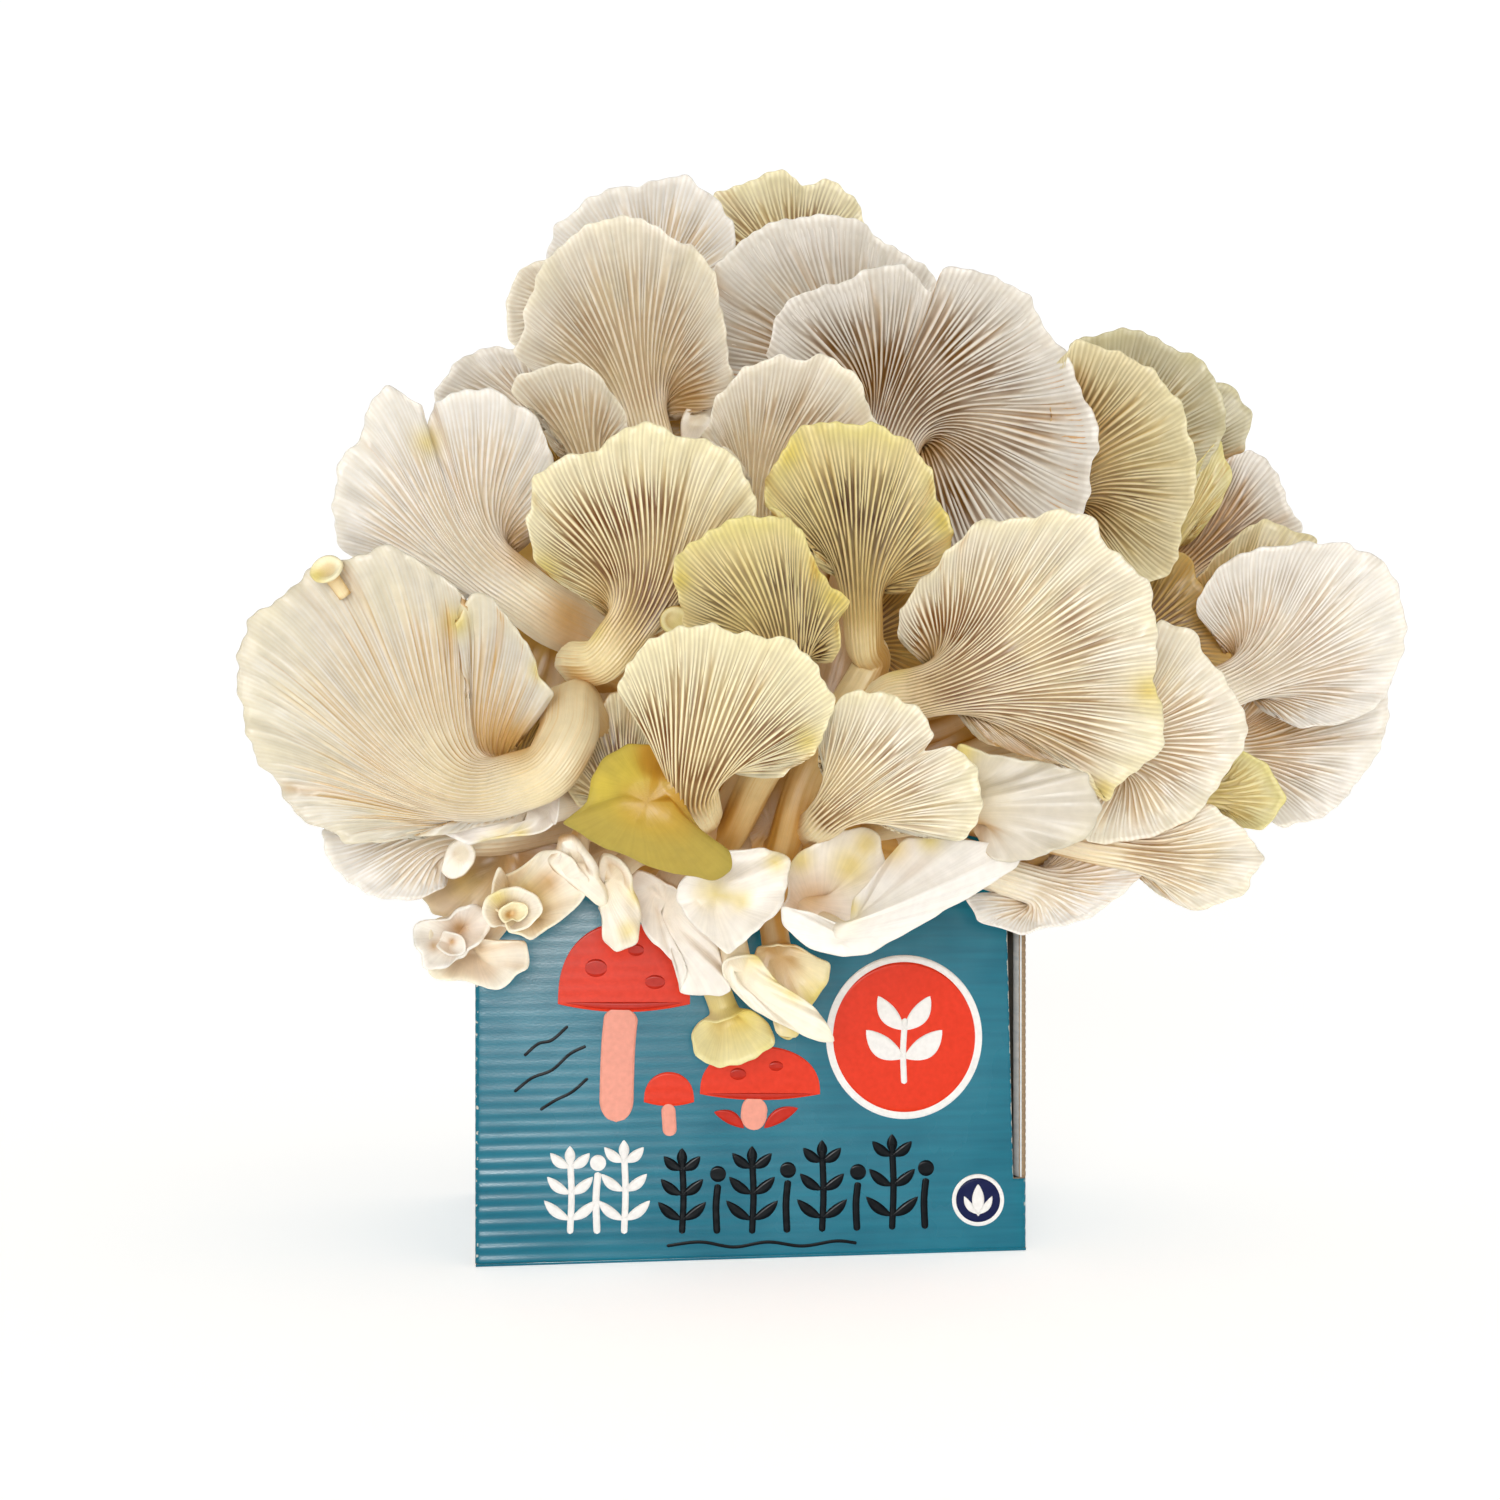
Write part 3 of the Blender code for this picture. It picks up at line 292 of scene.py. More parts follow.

# hub: where the gills meet the stem, as (pixel x, pixel y, forward), forward being mm in front of
# the panel. lean: how much further forward the far edge stands. across, up: slope in mm for 100
# pixels. thick: the stem's radius below the gills. stem: its way to the butts, as the hub;
# rooted=False ends it there. rim: pixels along the cap's margin, in order. back: the smooth upper
# side faces us. yellow: stained spots, and ochre: spots of painted shade in the hollows, each as
# (pixel x, pixel y, radius). folds: lips and buds that have grown from the same flesh.
mushrooms = {
    "mushroom_front_centre": dict(
        hub=(694, 790, 98), lean=30, thick=7.5, stem=[(698, 800, 84), (702, 814, 56)], yellow=[(806, 740, 15)],
        rim=[(672, 788), (664, 752), (645, 722), (618, 684), (627, 662), (660, 637), (700, 627), (745, 632),
             (790, 646), (818, 668), (835, 702), (827, 724), (812, 758), (782, 773), (745, 768), (715, 786)]),
    "mushroom_yellow_fold": dict(
        hub=(648, 802, 104), lean=-12, thick=6, tone="olive", back=True, ruffle=1.2, scallop=0.2,
        stem=[(654, 810, 84), (676, 826, 54)], yellow=[(636, 768, 34), (604, 786, 20), (668, 800, 16)],
        ochreShade=[(676, 800, 26), (640, 800, 16), (660, 768, 18)],
        rim=[(563, 823), (588, 804), (591, 778), (604, 758), (628, 744), (654, 744), (671, 762), (675, 788),
             (684, 814), (704, 834), (728, 850), (731, 870), (714, 880), (686, 876), (648, 864), (606, 848)]),
    "mushroom_front_trough": dict(
        hub=(842, 932, 88), lean=-14, thick=3.5, tone="snow", back=True, ruffle=0.5, scallop=0.3, crowdShadeShare=0.4,
        stem=[(830, 924, 60), (806, 908, 40), (790, 862, 30)],
        yellow=[(892, 846, 14), (930, 840, 12), (850, 908, 10)],
        rim=[(781, 905), (802, 911), (826, 914), (850, 903), (868, 884), (884, 862), (905, 838), (960, 840),
             (1024, 846), (1018, 868), (960, 902), (905, 934), (880, 948), (868, 954), (848, 958), (830, 955),
             (812, 950), (784, 926)],
        folds=[dict(hub=(806, 900, 47), lean=24, thick=4, tone="snow", smooth=True, edge=1.4,
                    stem=[(800, 890, 42), (790, 862, 34)], yellow=[(850, 866, 20), (866, 844, 14), (800, 860, 14)],
                    ochreShade=[(810, 900, 26)],
                    rim=[(779, 902), (786, 880), (792, 862), (806, 847), (834, 835), (864, 833), (880, 842),
                         (886, 862), (880, 886), (862, 912), (836, 932), (804, 934), (784, 922)])]),
    "mushroom_front_right": dict(
        hub=(832, 812, 84), lean=22, thick=7, tone="butter", gill=1.4, stem=[(820, 824, 62), (806, 832, 34)],
        rim=[(806, 802), (812, 765), (820, 732), (836, 698), (862, 691), (894, 698), (916, 712), (935, 735),
             (923, 750), (950, 747), (972, 768), (984, 800), (974, 826), (958, 841), (915, 836), (870, 838),
             (846, 832)]),
    "mushroom_yellow_centre": dict(
        hub=(786, 672, 84), lean=26, thick=6.5, tone="yellow", scallop=0.9,
        stem=[(776, 740, 68), (755, 785, 56), (728, 840, 42)],
        yellow=[(836, 598, 20), (846, 618, 16), (818, 570, 16), (680, 580, 12)],
        rim=[(692, 632), (676, 600), (672, 575), (690, 545), (722, 527), (762, 513), (790, 521), (812, 553),
             (832, 588), (849, 606), (838, 622), (842, 646), (838, 668), (815, 684)],
        folds=[dict(bud, hub=(676, 622, 78), lean=-3, tone="lemon", edge=1.5, ruffle=0.3,
                    stem=[(680, 630, 72), (690, 650, 66)],
                    rim=[(666, 625), (669, 613), (679, 609), (686, 618), (683, 631), (673, 634)])]),
    "mushroom_big_left": dict(
        hub=(512, 784, 78), lean=10, across=4, up=6, thick=10, tone="shadedSatin", gill=1.3,
        stem=[(548, 770, 84), (568, 738, 82), (574, 706, 70), (604, 740, 46)],
        yellow=[(456, 622, 15), (540, 670, 10)], ochreShade=[(516, 742, 24)],
        rim=[(497, 715), (531, 708), (553, 694), (540, 675), (534, 658), (509, 620), (489, 597), (470, 597),
             (456, 625), (462, 600), (446, 583), (419, 559), (387, 546), (345, 560), (310, 572), (280, 598),
             (248, 624), (237, 655), (243, 715), (262, 768), (300, 815), (350, 844), (395, 842), (440, 828),
             (480, 812)],
        folds=[dict(filler, hub=(530, 762, 30), lean=5, stem=[(570, 780, 18)], ochreShade=[(520, 740, 50)],
                    rim=[(480, 705), (520, 690), (560, 690), (592, 704), (598, 742), (580, 778), (545, 792),
                         (505, 786), (482, 750)]),
               dict(bud, hub=(329, 573, 94), lean=-2, tone="cream", edge=1.6, ruffle=0.8,
                    stem=[(334, 580, 91), (345, 596, 89)], yellow=[(316, 576, 10)],
                    rim=[(311, 580), (315, 566), (330, 559), (345, 563), (342, 578), (328, 586)])]),
    "mushroom_white_side": dict(
        hub=(968, 806, 70), lean=20, thick=6, tone="shadedPearl", smooth=True, stem=[(935, 812, 58), (880, 826, 34)],
        yellow=[(962, 752, 16)], ochreShade=[(962, 834, 22)],
        rim=[(946, 778), (958, 744), (1000, 757), (1050, 765), (1088, 774), (1101, 806), (1088, 832), (1062, 850),
             (1028, 860), (988, 858), (952, 842)]),
    "mushroom_centre_left": dict(
        hub=(622, 636, 72), lean=20, thick=8, gill=2.0,
        stem=[(602, 660, 72), (578, 662, 62), (590, 668, 40), (656, 700, 24)],
        yellow=[(545, 570, 20), (590, 628, 12)],
        rim=[(597, 630), (566, 590), (536, 564), (527, 525), (534, 482), (560, 459), (596, 451), (612, 438),
             (646, 424), (690, 437), (732, 456), (752, 485), (755, 515), (735, 560), (700, 600), (664, 630)]),
    "mushroom_right_front": dict(
        hub=(922, 692, 62), lean=24, across=-2, up=6, thick=9, tone="butter", stem=[(884, 704, 54), (838, 770, 28)],
        yellow=[(896, 664, 14), (1150, 690, 20), (1104, 790, 14)], ochreShade=[(1010, 764, 26)],
        rim=[(908, 674), (888, 656), (886, 632), (906, 604), (944, 552), (985, 524), (1050, 512), (1090, 518),
             (1104, 542), (1128, 564), (1150, 590), (1158, 630), (1150, 676), (1166, 716), (1158, 750), (1122, 784),
             (1104, 804), (1084, 770), (1030, 758), (975, 740), (942, 714)]),
    "mushroom_yellow_right": dict(
        hub=(862, 606, 58), lean=30, thick=7, tone="yellow", gill=2.2,
        stem=[(864, 644, 52), (868, 672, 46), (808, 772, 50), (784, 846, 40)],
        yellow=[(788, 452, 18), (944, 520, 16)],
        rim=[(848, 602), (822, 566), (796, 528), (766, 508), (766, 474), (788, 442), (825, 423), (870, 424),
             (908, 441), (932, 472), (938, 508), (955, 530), (945, 562), (912, 602), (884, 622)],
        folds=[dict(filler, hub=(858, 662, 12), lean=2, stem=[(846, 724, 10)], ochreShade=[(862, 656, 70)],
                    rim=[(806, 640), (824, 590), (868, 566), (912, 570), (940, 620), (922, 690), (870, 724),
                         (828, 704)])]),
    "mushroom_centre_back": dict(
        hub=(764, 520, 40), lean=32, thick=6, tone="ivory", crowdShadeShare=0.4,
        stem=[(766, 590, 34), (752, 752, 38), (708, 836, 40)],
        rim=[(752, 480), (728, 450), (700, 438), (716, 400), (745, 370), (782, 358), (818, 355), (855, 378),
             (880, 428), (868, 480), (812, 516)],
        folds=[dict(filler, hub=(722, 440, -12), lean=3, stem=[(724, 560, -8), (730, 700, 8)], ochreShade=[(710, 430, 60)],
                    rim=[(664, 440), (676, 396), (716, 372), (766, 376), (790, 420), (780, 476), (730, 510),
                         (680, 490)])]),
    "mushroom_left": dict(
        hub=(500, 578, 46), lean=8, across=4, up=8, thick=10.5, tone="snow", gill=1.3, crowdShadeShare=0.4,
        stem=[(548, 612, 46), (592, 640, 34), (630, 720, 24)], yellow=[(428, 442, 15)],
        ochreShade=[(566, 616, 30), (524, 552, 24)],
        rim=[(540, 590), (560, 545), (562, 490), (550, 452), (532, 414), (500, 394), (466, 389), (436, 400),
             (428, 436), (414, 402), (392, 387), (368, 405), (360, 440), (338, 470), (333, 505), (343, 555),
             (400, 585), (440, 606), (480, 628)],
        folds=[dict(filler, hub=(576, 606, 6), lean=4, stem=[(606, 700, 6)], ochreShade=[(570, 600, 90)],
                    rim=[(504, 552), (528, 512), (566, 500), (602, 556), (624, 616), (632, 690), (596, 726),
                         (532, 716), (498, 664), (496, 600)])]),
    "mushroom_small_upper_left": dict(
        hub=(590, 470, 30), lean=28, thick=5.5, tone="ivory", crowdShadeShare=0.6,
        stem=[(616, 560, 20), (680, 700, 12), (712, 760, 14)],
        rim=[(558, 462), (542, 425), (509, 392), (524, 376), (550, 367), (580, 368), (606, 384), (628, 420),
             (634, 452), (616, 470)],
        folds=[dict(filler, hub=(572, 480, 10), lean=3, thick=4, stem=[(600, 560, 8)], ochreShade=[(575, 480, 60)],
                    rim=[(528, 470), (540, 430), (572, 420), (612, 440), (640, 470), (630, 520), (590, 545),
                         (548, 520)])]),
    "mushroom_top_left": dict(
        hub=(646, 424, 4), lean=42, thick=8.5, tone="ivory", pitch=5.4, crowdShadeShare=0.3,
        stem=[(664, 500, 8), (676, 640, 16), (690, 762, 14)], ochreShade=[(690, 402, 26)],
        rim=[(612, 424), (560, 400), (518, 358), (530, 305), (544, 258), (590, 226), (642, 218), (684, 243),
             (714, 272), (724, 330), (736, 376), (716, 412), (684, 430)],
        folds=[dict(bud, hub=(698, 420, 8), lean=-3, edge=1.4, ruffle=0.4, scallop=0.2,
                    stem=[(700, 436, 0), (700, 456, -8)],
                    rim=[(682, 440), (680, 424), (690, 404), (706, 398), (716, 408), (712, 428), (698, 442)])]),
    "mushroom_big_right": dict(
        hub=(892, 450, 12), lean=38, thick=10, tone="pale", pitch=6.4,
        stem=[(868, 540, 14), (826, 700, 16), (800, 770, 12)],
        rim=[(852, 436), (800, 400), (768, 352), (780, 312), (815, 284), (858, 283), (874, 270), (904, 261),
             (930, 296), (944, 268), (985, 272), (1030, 298), (1046, 334), (1072, 364), (1088, 405), (1097, 445),
             (1088, 500), (1060, 545), (990, 580), (925, 598), (884, 560), (876, 500)]),
    "mushroom_right_middle": dict(
        hub=(1106, 752, 40), lean=16, thick=7.5, tone="ivory", stem=[(1040, 768, 36), (910, 790, 24)],
        rim=[(1112, 690), (1150, 648), (1160, 622), (1192, 630), (1212, 664), (1238, 702), (1250, 726), (1226, 775),
             (1200, 810), (1160, 836), (1112, 840), (1084, 842), (1068, 800)]),
    "mushroom_upper_right": dict(
        hub=(1048, 508, 20), lean=34, thick=8.5, tone="tan", gill=2.2, stem=[(1004, 600, 22), (880, 740, 16)],
        rim=[(1046, 430), (1052, 372), (1072, 342), (1108, 348), (1152, 370), (1178, 406), (1196, 446), (1194, 484),
             (1181, 522), (1180, 562), (1146, 584), (1088, 570), (1056, 540)]),
    "mushroom_lower_right_small": dict(
        hub=(1122, 851, 40), lean=14, thick=6.5, tone="ivory", stem=[(1070, 842, 34), (940, 812, 20)],
        rim=[(1142, 836), (1180, 812), (1212, 803), (1244, 832), (1264, 860), (1244, 892), (1196, 912), (1160, 896),
             (1138, 866)]),
    "mushroom_lower_right": dict(
        hub=(1030, 884, 30), lean=12, thick=7, tone="snow", crowdShadeShare=0.6, stem=[(980, 868, 30), (900, 836, 18)],
        rim=[(996, 880), (964, 898), (980, 920), (1018, 938), (1070, 928), (1118, 898), (1146, 870), (1124, 834),
             (1080, 838), (1046, 852)],
        folds=[dict(hub=(1026, 868, 22), lean=4, thick=4, tone="tan", stem=[(970, 850, 16), (900, 830, 14)],
                    ochreShade=[(1020, 860, 26)],
                    rim=[(984, 876), (992, 846), (1030, 832), (1074, 836), (1080, 862), (1050, 888), (1010, 894)])]),
    "mushroom_small_yellow_right": dict(
        hub=(1210, 792, 26), lean=14, thick=5.5, tone="lemon", stem=[(1130, 786, 22), (930, 796, 12)],
        rim=[(1206, 762), (1238, 750), (1268, 766), (1284, 798), (1262, 832), (1232, 826)]),
    "mushroom_far_right": dict(
        hub=(1232, 684, 22), lean=24, thick=8.5, tone="white",
        stem=[(1180, 706, 16), (1040, 740, 14), (920, 776, 10)],
        rim=[(1206, 640), (1194, 600), (1214, 572), (1248, 554), (1300, 542), (1350, 546), (1382, 560), (1400, 598),
             (1407, 628), (1396, 668), (1382, 704), (1340, 724), (1290, 730), (1252, 722)]),
    "mushroom_far_right_low": dict(
        hub=(1232, 748, 6), lean=12, thick=6.5, tone="white", stem=[(1160, 752, 8), (930, 782, 8)],
        rim=[(1236, 700), (1290, 690), (1340, 680), (1392, 678), (1386, 722), (1366, 776), (1326, 814), (1282, 830),
             (1246, 800)]),
    "mushroom_right_ruffle": dict(
        hub=(1214, 628, 6), lean=14, thick=5.5, tone="tan", stem=[(1150, 676, 8), (930, 762, 8)],
        rim=[(1190, 590), (1216, 556), (1242, 532), (1264, 519), (1290, 530), (1316, 542), (1290, 590), (1250, 628)]),
    "mushroom_right_dark": dict(
        hub=(1120, 650, 4), lean=16, thick=6, tone="ochreShade", stem=[(1060, 690, 8), (900, 762, 8)],
        rim=[(1112, 600), (1144, 570), (1174, 550), (1192, 562), (1204, 596), (1226, 632), (1232, 672), (1180, 690)]),
    "mushroom_yellow_far": dict(
        hub=(1168, 540, 0), lean=12, thick=5, tone="lemon", stem=[(1120, 600, 4), (900, 738, 8)],
        rim=[(1172, 500), (1194, 464), (1220, 441), (1233, 478), (1218, 508), (1192, 542)]),
    "mushroom_right_back": dict(
        hub=(1100, 476, -8), lean=26, thick=7, tone="moss", stem=[(1040, 590, 0), (880, 730, 9)],
        rim=[(1062, 420), (1066, 346), (1100, 336), (1142, 330), (1180, 352), (1212, 372), (1226, 410), (1218, 450),
             (1188, 486), (1140, 500)]),
    "mushroom_right_fan": dict(
        hub=(1184, 566, -14), lean=16, thick=6, tone="pale", stem=[(1120, 620, -8), (960, 720, 8), (890, 742, 8)],
        rim=[(1190, 500), (1226, 460), (1248, 450), (1278, 474), (1288, 506), (1302, 534), (1250, 562)]),
    "mushroom_upper_back": dict(
        hub=(838, 404, -14), lean=30, thick=8, tone="white", pitch=6.4, stem=[(824, 540, 0), (790, 720, 10)],
        rim=[(786, 396), (744, 396), (716, 380), (700, 330), (716, 264), (746, 236), (786, 221), (826, 216),
             (864, 222), (886, 246), (926, 268), (950, 300), (930, 360), (884, 398)]),
    "mushroom_back_left": dict(
        hub=(536, 436, -16), lean=12, thick=6, tone="white", stem=[(570, 560, -8), (640, 734, 9)],
        rim=[(484, 440), (440, 410), (434, 388), (458, 362), (498, 347), (540, 352), (560, 392)]),
    "mushroom_top_back": dict(
        hub=(652, 316, -26), lean=18, thick=7, tone="snow", gill=1.0,
        stem=[(664, 480, -20), (694, 640, 2), (712, 728, 8)],
        rim=[(600, 318), (556, 290), (546, 254), (562, 222), (592, 198), (636, 184), (684, 178), (714, 196),
             (732, 224), (738, 256), (712, 290)]),
    "mushroom_right_edge": dict(
        hub=(1152, 480, -26), lean=16, thick=5.5, tone="moss", stem=[(1080, 566, -20), (930, 676, 2), (850, 716, 8)],
        rim=[(1160, 420), (1196, 376), (1232, 386), (1250, 416), (1244, 452), (1216, 480)]),
    "mushroom_back_left_low": dict(
        hub=(578, 330, -42), lean=10, thick=5.5, tone="ivory", stem=[(610, 500, -30), (660, 650, 6), (676, 716, 8)],
        rim=[(546, 356), (514, 346), (507, 306), (516, 276), (548, 258), (584, 280)]),
    "mushroom_top_right_back": dict(
        hub=(790, 296, -40), lean=18, thick=6.5, stem=[(776, 480, -30), (762, 640, 6), (756, 712, 9)],
        rim=[(742, 276), (712, 236), (716, 192), (750, 184), (786, 169), (803, 188), (824, 181), (856, 198),
             (866, 230), (838, 272)]),
    # the small ones low in the middle and on the left, in front of the panel
    "mushroom_behind_fold": dict(
        hub=(628, 802, 52), lean=14, thick=6, stem=[(650, 822, 42), (672, 830, 32)],
        rim=[(580, 812), (566, 785), (572, 748), (592, 716), (612, 694), (632, 702), (650, 730), (656, 776)]),
    "mushroom_lower_centre": dict(
        hub=(716, 892, 62), lean=12, up=-8, thick=6.5, tone="white", smooth=True, ruffle=3.0, scallop=1.0,
        crowdShadeShare=0.5, stem=[(722, 872, 48), (736, 842, 30)], yellow=[(712, 891, 13), (776, 862, 11), (740, 900, 10)],
        rim=[(700, 880), (724, 842), (762, 848), (788, 858), (787, 886), (780, 910), (758, 932), (726, 953),
             (702, 932), (686, 908)]),
    "mushroom_pointed": dict(
        hub=(736, 958, 42), lean=10, thick=5, tone="ivory", back=True, scallop=0.3,
        stem=[(728, 920, 34), (722, 880, 24)], yellow=[(758, 956, 12), (778, 978, 12), (792, 992, 10)],
        rim=[(721, 966), (726, 948), (746, 948), (764, 970), (790, 990), (812, 1005), (830, 1027), (834, 1042),
             (816, 1040), (776, 1022), (748, 1006), (730, 988)]),
    "mushroom_lower_tan": dict(
        hub=(776, 944, 32), lean=6, thick=5, tone="tan", back=True, scallop=0.3,
        stem=[(770, 906, 26), (762, 872, 20)], yellow=[(818, 1000, 24), (800, 1024, 16)],
        rim=[(748, 944), (772, 924), (800, 948), (829, 961), (828, 980), (811, 1004), (796, 1036), (776, 1034),
             (762, 990)]),
    "mushroom_lower_yellow": dict(
        hub=(722, 1004, 14), lean=10, thick=5, tone="lemon", back=True, scallop=0.8,
        stem=[(708, 960, 14), (702, 884, 14)], yellow=[(745, 1010, 22)],
        rim=[(706, 1000), (729, 994), (752, 1008), (770, 1024), (777, 1044), (744, 1060), (716, 1068), (696, 1056),
             (690, 1032)],
        folds=[dict(bud, hub=(786, 1022, 14), lean=4, tone="lemon", stem=[(776, 1008, 12), (766, 990, 12)],
                    ochreShade=[(786, 1030, 8)],
                    rim=[(770, 1014), (778, 1034), (790, 1042), (801, 1034), (800, 1016)])]),
    "mushroom_white_sheet": dict(
        hub=(668, 888, 30), lean=14, thick=6, tone="white", back=True, ruffle=3.0, scallop=0.5, crowdShadeShare=0.5,
        stem=[(680, 868, 26), (696, 852, 20)],
        rim=[(624, 884), (632, 864), (680, 866), (704, 890), (718, 948), (732, 994), (688, 992), (684, 966),
             (644, 936)]),
    "mushroom_tongue": dict(
        hub=(616, 872, 46), lean=6, thick=4.5, tone="ivory", back=True, edge=2.0, scallop=0.4, crowdShadeShare=0.5,
        stem=[(636, 856, 36), (668, 846, 22)], yellow=[(638, 895, 11), (628, 930, 10)],
        rim=[(603, 876), (605, 862), (626, 860), (630, 888), (641, 900), (638, 940), (616, 952), (603, 936)]),
    "young_mushroom_finger": dict(
        hub=(576, 856, 52), lean=-3, thick=4, tone="ivory", back=True, edge=4.0, ruffle=0.3, scallop=0.1,
        stem=[(586, 832, 44), (640, 812, 22)],
        rim=[(556, 832), (572, 826), (588, 848), (604, 882), (607, 900), (597, 901), (580, 884), (560, 858)]),
    "mushroom_curled_small": dict(
        hub=(524, 900, 36), lean=22, thick=6, tone="ivory", smooth=True, edge=1.4, scallop=0.3, crowdShadeShare=0.4,
        stem=[(560, 868, 28), (650, 826, 14)], yellow=[(524, 902, 26)], ochreShade=[(548, 882, 13)],
        rim=[(486, 908), (492, 884), (500, 866), (512, 872), (524, 866), (540, 852), (558, 846), (574, 860),
             (583, 882), (577, 905), (558, 922), (530, 941), (504, 936)],
        folds=[dict(curl, hub=(510, 913, 38), lean=16, tone="ivory", edge=1.8, ruffle=1.6, scallop=0.3,
                    stem=[(512, 909, 32), (514, 905, 28)], yellow=[(498, 898, 12)], ochreShade=[(508, 914, 8)],
                    rim=[(483, 913), (487, 896), (500, 885), (520, 885), (535, 896), (541, 912), (530, 928),
                         (512, 935), (493, 928)]),
               dict(curl, hub=(512, 913, 44), lean=9, thick=1.2, tone="cream", edge=1.5, ruffle=6.0, scallop=3.0,
                    stem=[(513, 911, 38), (514, 909, 34)], ochreShade=[(508, 915, 4)],
                    rim=[(499, 914), (503, 903), (514, 899), (525, 905), (527, 916), (518, 925), (505, 924)])]),
    "mushroom_curled_low": dict(
        hub=(478, 938, 26), lean=16, thick=6, tone="ivory", back=True, scallop=0.3, crowdShadeShare=0.4,
        stem=[(530, 884, 22), (640, 832, 10)],
        rim=[(436, 918), (466, 904), (500, 922), (528, 942), (530, 970), (498, 988), (460, 982), (428, 974),
             (422, 946)],
        folds=[dict(curl, hub=(456, 934, 30), lean=18, thick=2.0, tone="snow", edge=2.4, ruffle=5.0, scallop=3.0,
                    stem=[(452, 932, 24), (456, 928, 20)], ochreShade=[(459, 928, 8), (434, 946, 6)],
                    rim=[(423, 934), (430, 918), (450, 911), (470, 904), (480, 918), (480, 940), (470, 957),
                         (450, 966), (430, 964), (421, 950)]),
               dict(curl, hub=(451, 943, 36), lean=8, thick=1.2, tone="snow", edge=1.6, ruffle=6.0, scallop=3.0,
                    stem=[(452, 940, 30), (454, 936, 26)], ochreShade=[(452, 942, 4)],
                    rim=[(438, 944), (443, 933), (454, 930), (463, 938), (462, 950), (452, 957), (441, 954)])]),
    "mushroom_lower_left": dict(
        hub=(452, 836, 36), lean=14, thick=7, tone="snow", gill=1.3, crowdShadeShare=0.5,
        stem=[(520, 832, 32), (636, 806, 14)],
        rim=[(420, 806), (370, 800), (322, 830), (332, 866), (366, 893), (412, 900), (446, 892), (476, 866),
             (480, 842)],
        folds=[dict(bud, hub=(462, 852, 46), lean=1, tone="ivory", edge=1.4, ruffle=1.0, scallop=0.3,
                    stem=[(466, 846, 40), (470, 838, 36)],
                    rim=[(441, 870), (447, 852), (454, 838), (464, 834), (474, 846), (475, 862), (466, 875),
                         (451, 878)])]),
    "mushroom_fold_left": dict(
        hub=(512, 858, 22), lean=10, thick=5.5, tone="shadedSatin", smooth=True, crowdShadeShare=0.5,
        stem=[(560, 850, 16), (650, 816, 10)], yellow=[(470, 884, 24)], ochreShade=[(522, 858, 32)],
        rim=[(480, 832), (446, 852), (420, 890), (432, 914), (474, 920), (506, 918), (534, 902), (558, 876),
             (566, 848), (530, 826)]),
    "mushroom_lower_white": dict(
        hub=(540, 806, 58), lean=12, thick=6.5, tone="snow", smooth=True, scallop=0.3, crowdShadeShare=0.1,
        stem=[(580, 800, 42), (640, 806, 22)], yellow=[(486, 844, 8), (500, 838, 9), (520, 834, 9), (542, 842, 8)],
        rim=[(470, 790), (430, 800), (432, 826), (468, 846), (500, 836), (532, 838), (548, 846), (572, 822),
             (584, 798), (560, 782)]),
}
marginSamples = 2048
habit = dict(  # how every cap grows
    plainPitch=7.0,  # pixels from column to column on a side without gills
    lift=0.38, enter=0.35,  # how far along its span the Bezier's middle points stand off its ends
    rowStep=2.6, fewest=12, most=36,  # mm from row to row, and the limits of their number
    waves=(130, 70, 38), lobes=(85, 40, 19),  # pixels from wave to wave of the margin and of its outline
    gillsBegin=((4, 0.12, 0.4), (2, 0.45, 0.8)),  # every so many columns, between these places on the way out
    upperRings=np.array([1.0, 0.975, 0.93, 0.86, 0.76, 0.64, 0.5, 0.36, 0.22]),  # their places from the hub out
)


def marginLoop(look):
    # the margin as a dense, smoothed loop of pixels about the hub, from the stem's side anticlockwise
    points = np.array(look["rim"], float) - look["hub"][:2]
    x, y = points.T
    if np.sum(x * np.roll(y, -1) - np.roll(x, -1) * y) > 0:
        points = points[::-1]
    turn = np.arctan2(-points[:, 1], points[:, 0])
    gaps = (np.roll(turn, -1) - turn + math.pi / 3) % (2 * math.pi) - math.pi / 3
    widest = int(np.argmax(gaps))
    if gaps[widest] > math.radians(50) and not look["back"]:  # the stem leaves through this opening
        stemTurn = turn[widest] + gaps[widest] / 2
        collar = 0.5 * np.hypot(*points.T).min() * np.array([math.cos(stemTurn), -math.sin(stemTurn)])
        points = np.vstack([collar, np.roll(points, -widest - 1, 0)])
    else:  # the gills go all round the stem
        leaving = np.array(look["stem"][0][:2], float) - look["hub"][:2]
        stemTurn = math.atan2(-leaving[1], leaving[0])
        nearest = int(np.argmin(np.abs((turn - stemTurn + math.pi) % (2 * math.pi) - math.pi)))
        points = np.roll(points, -nearest, 0)
    closed = np.vstack([points, points[:1]])
    length = np.concatenate([[0.0], np.cumsum(np.hypot(*np.diff(closed, axis=0).T))])
    even = np.arange(marginSamples) * length[-1] / marginSamples
    reach = max(1, round(3.4 * marginSamples / length[-1]))
    bell = np.exp(-0.5 * (np.arange(-3 * reach, 3 * reach + 1) / reach) ** 2)
    loop = [np.convolve(np.tile(np.interp(even, length, side), 3), bell / bell.sum(), "same")[
        marginSamples : 2 * marginSamples] for side in closed.T]
    return np.column_stack(loop), length[-1], stemTurn


def smoothPath(points, count):
    # a Catmull-Rom curve through the points: the cubic with each point's slope from its neighbours
    p = np.vstack([2 * points[0] - points[1], points, 2 * points[-1] - points[-2]])
    t = np.linspace(0, len(points) - 1, count)
    i = np.minimum(t.astype(int), len(points) - 2)
    u = (t - i)[:, None]
    a, b, c, d = p[i], p[i + 1], p[i + 2], p[i + 3]
    return 0.5 * (2 * b + (c - a) * u + (2 * a - 5 * b + 4 * c - d) * u**2 + (3 * b - a - 3 * c + d) * u**3)


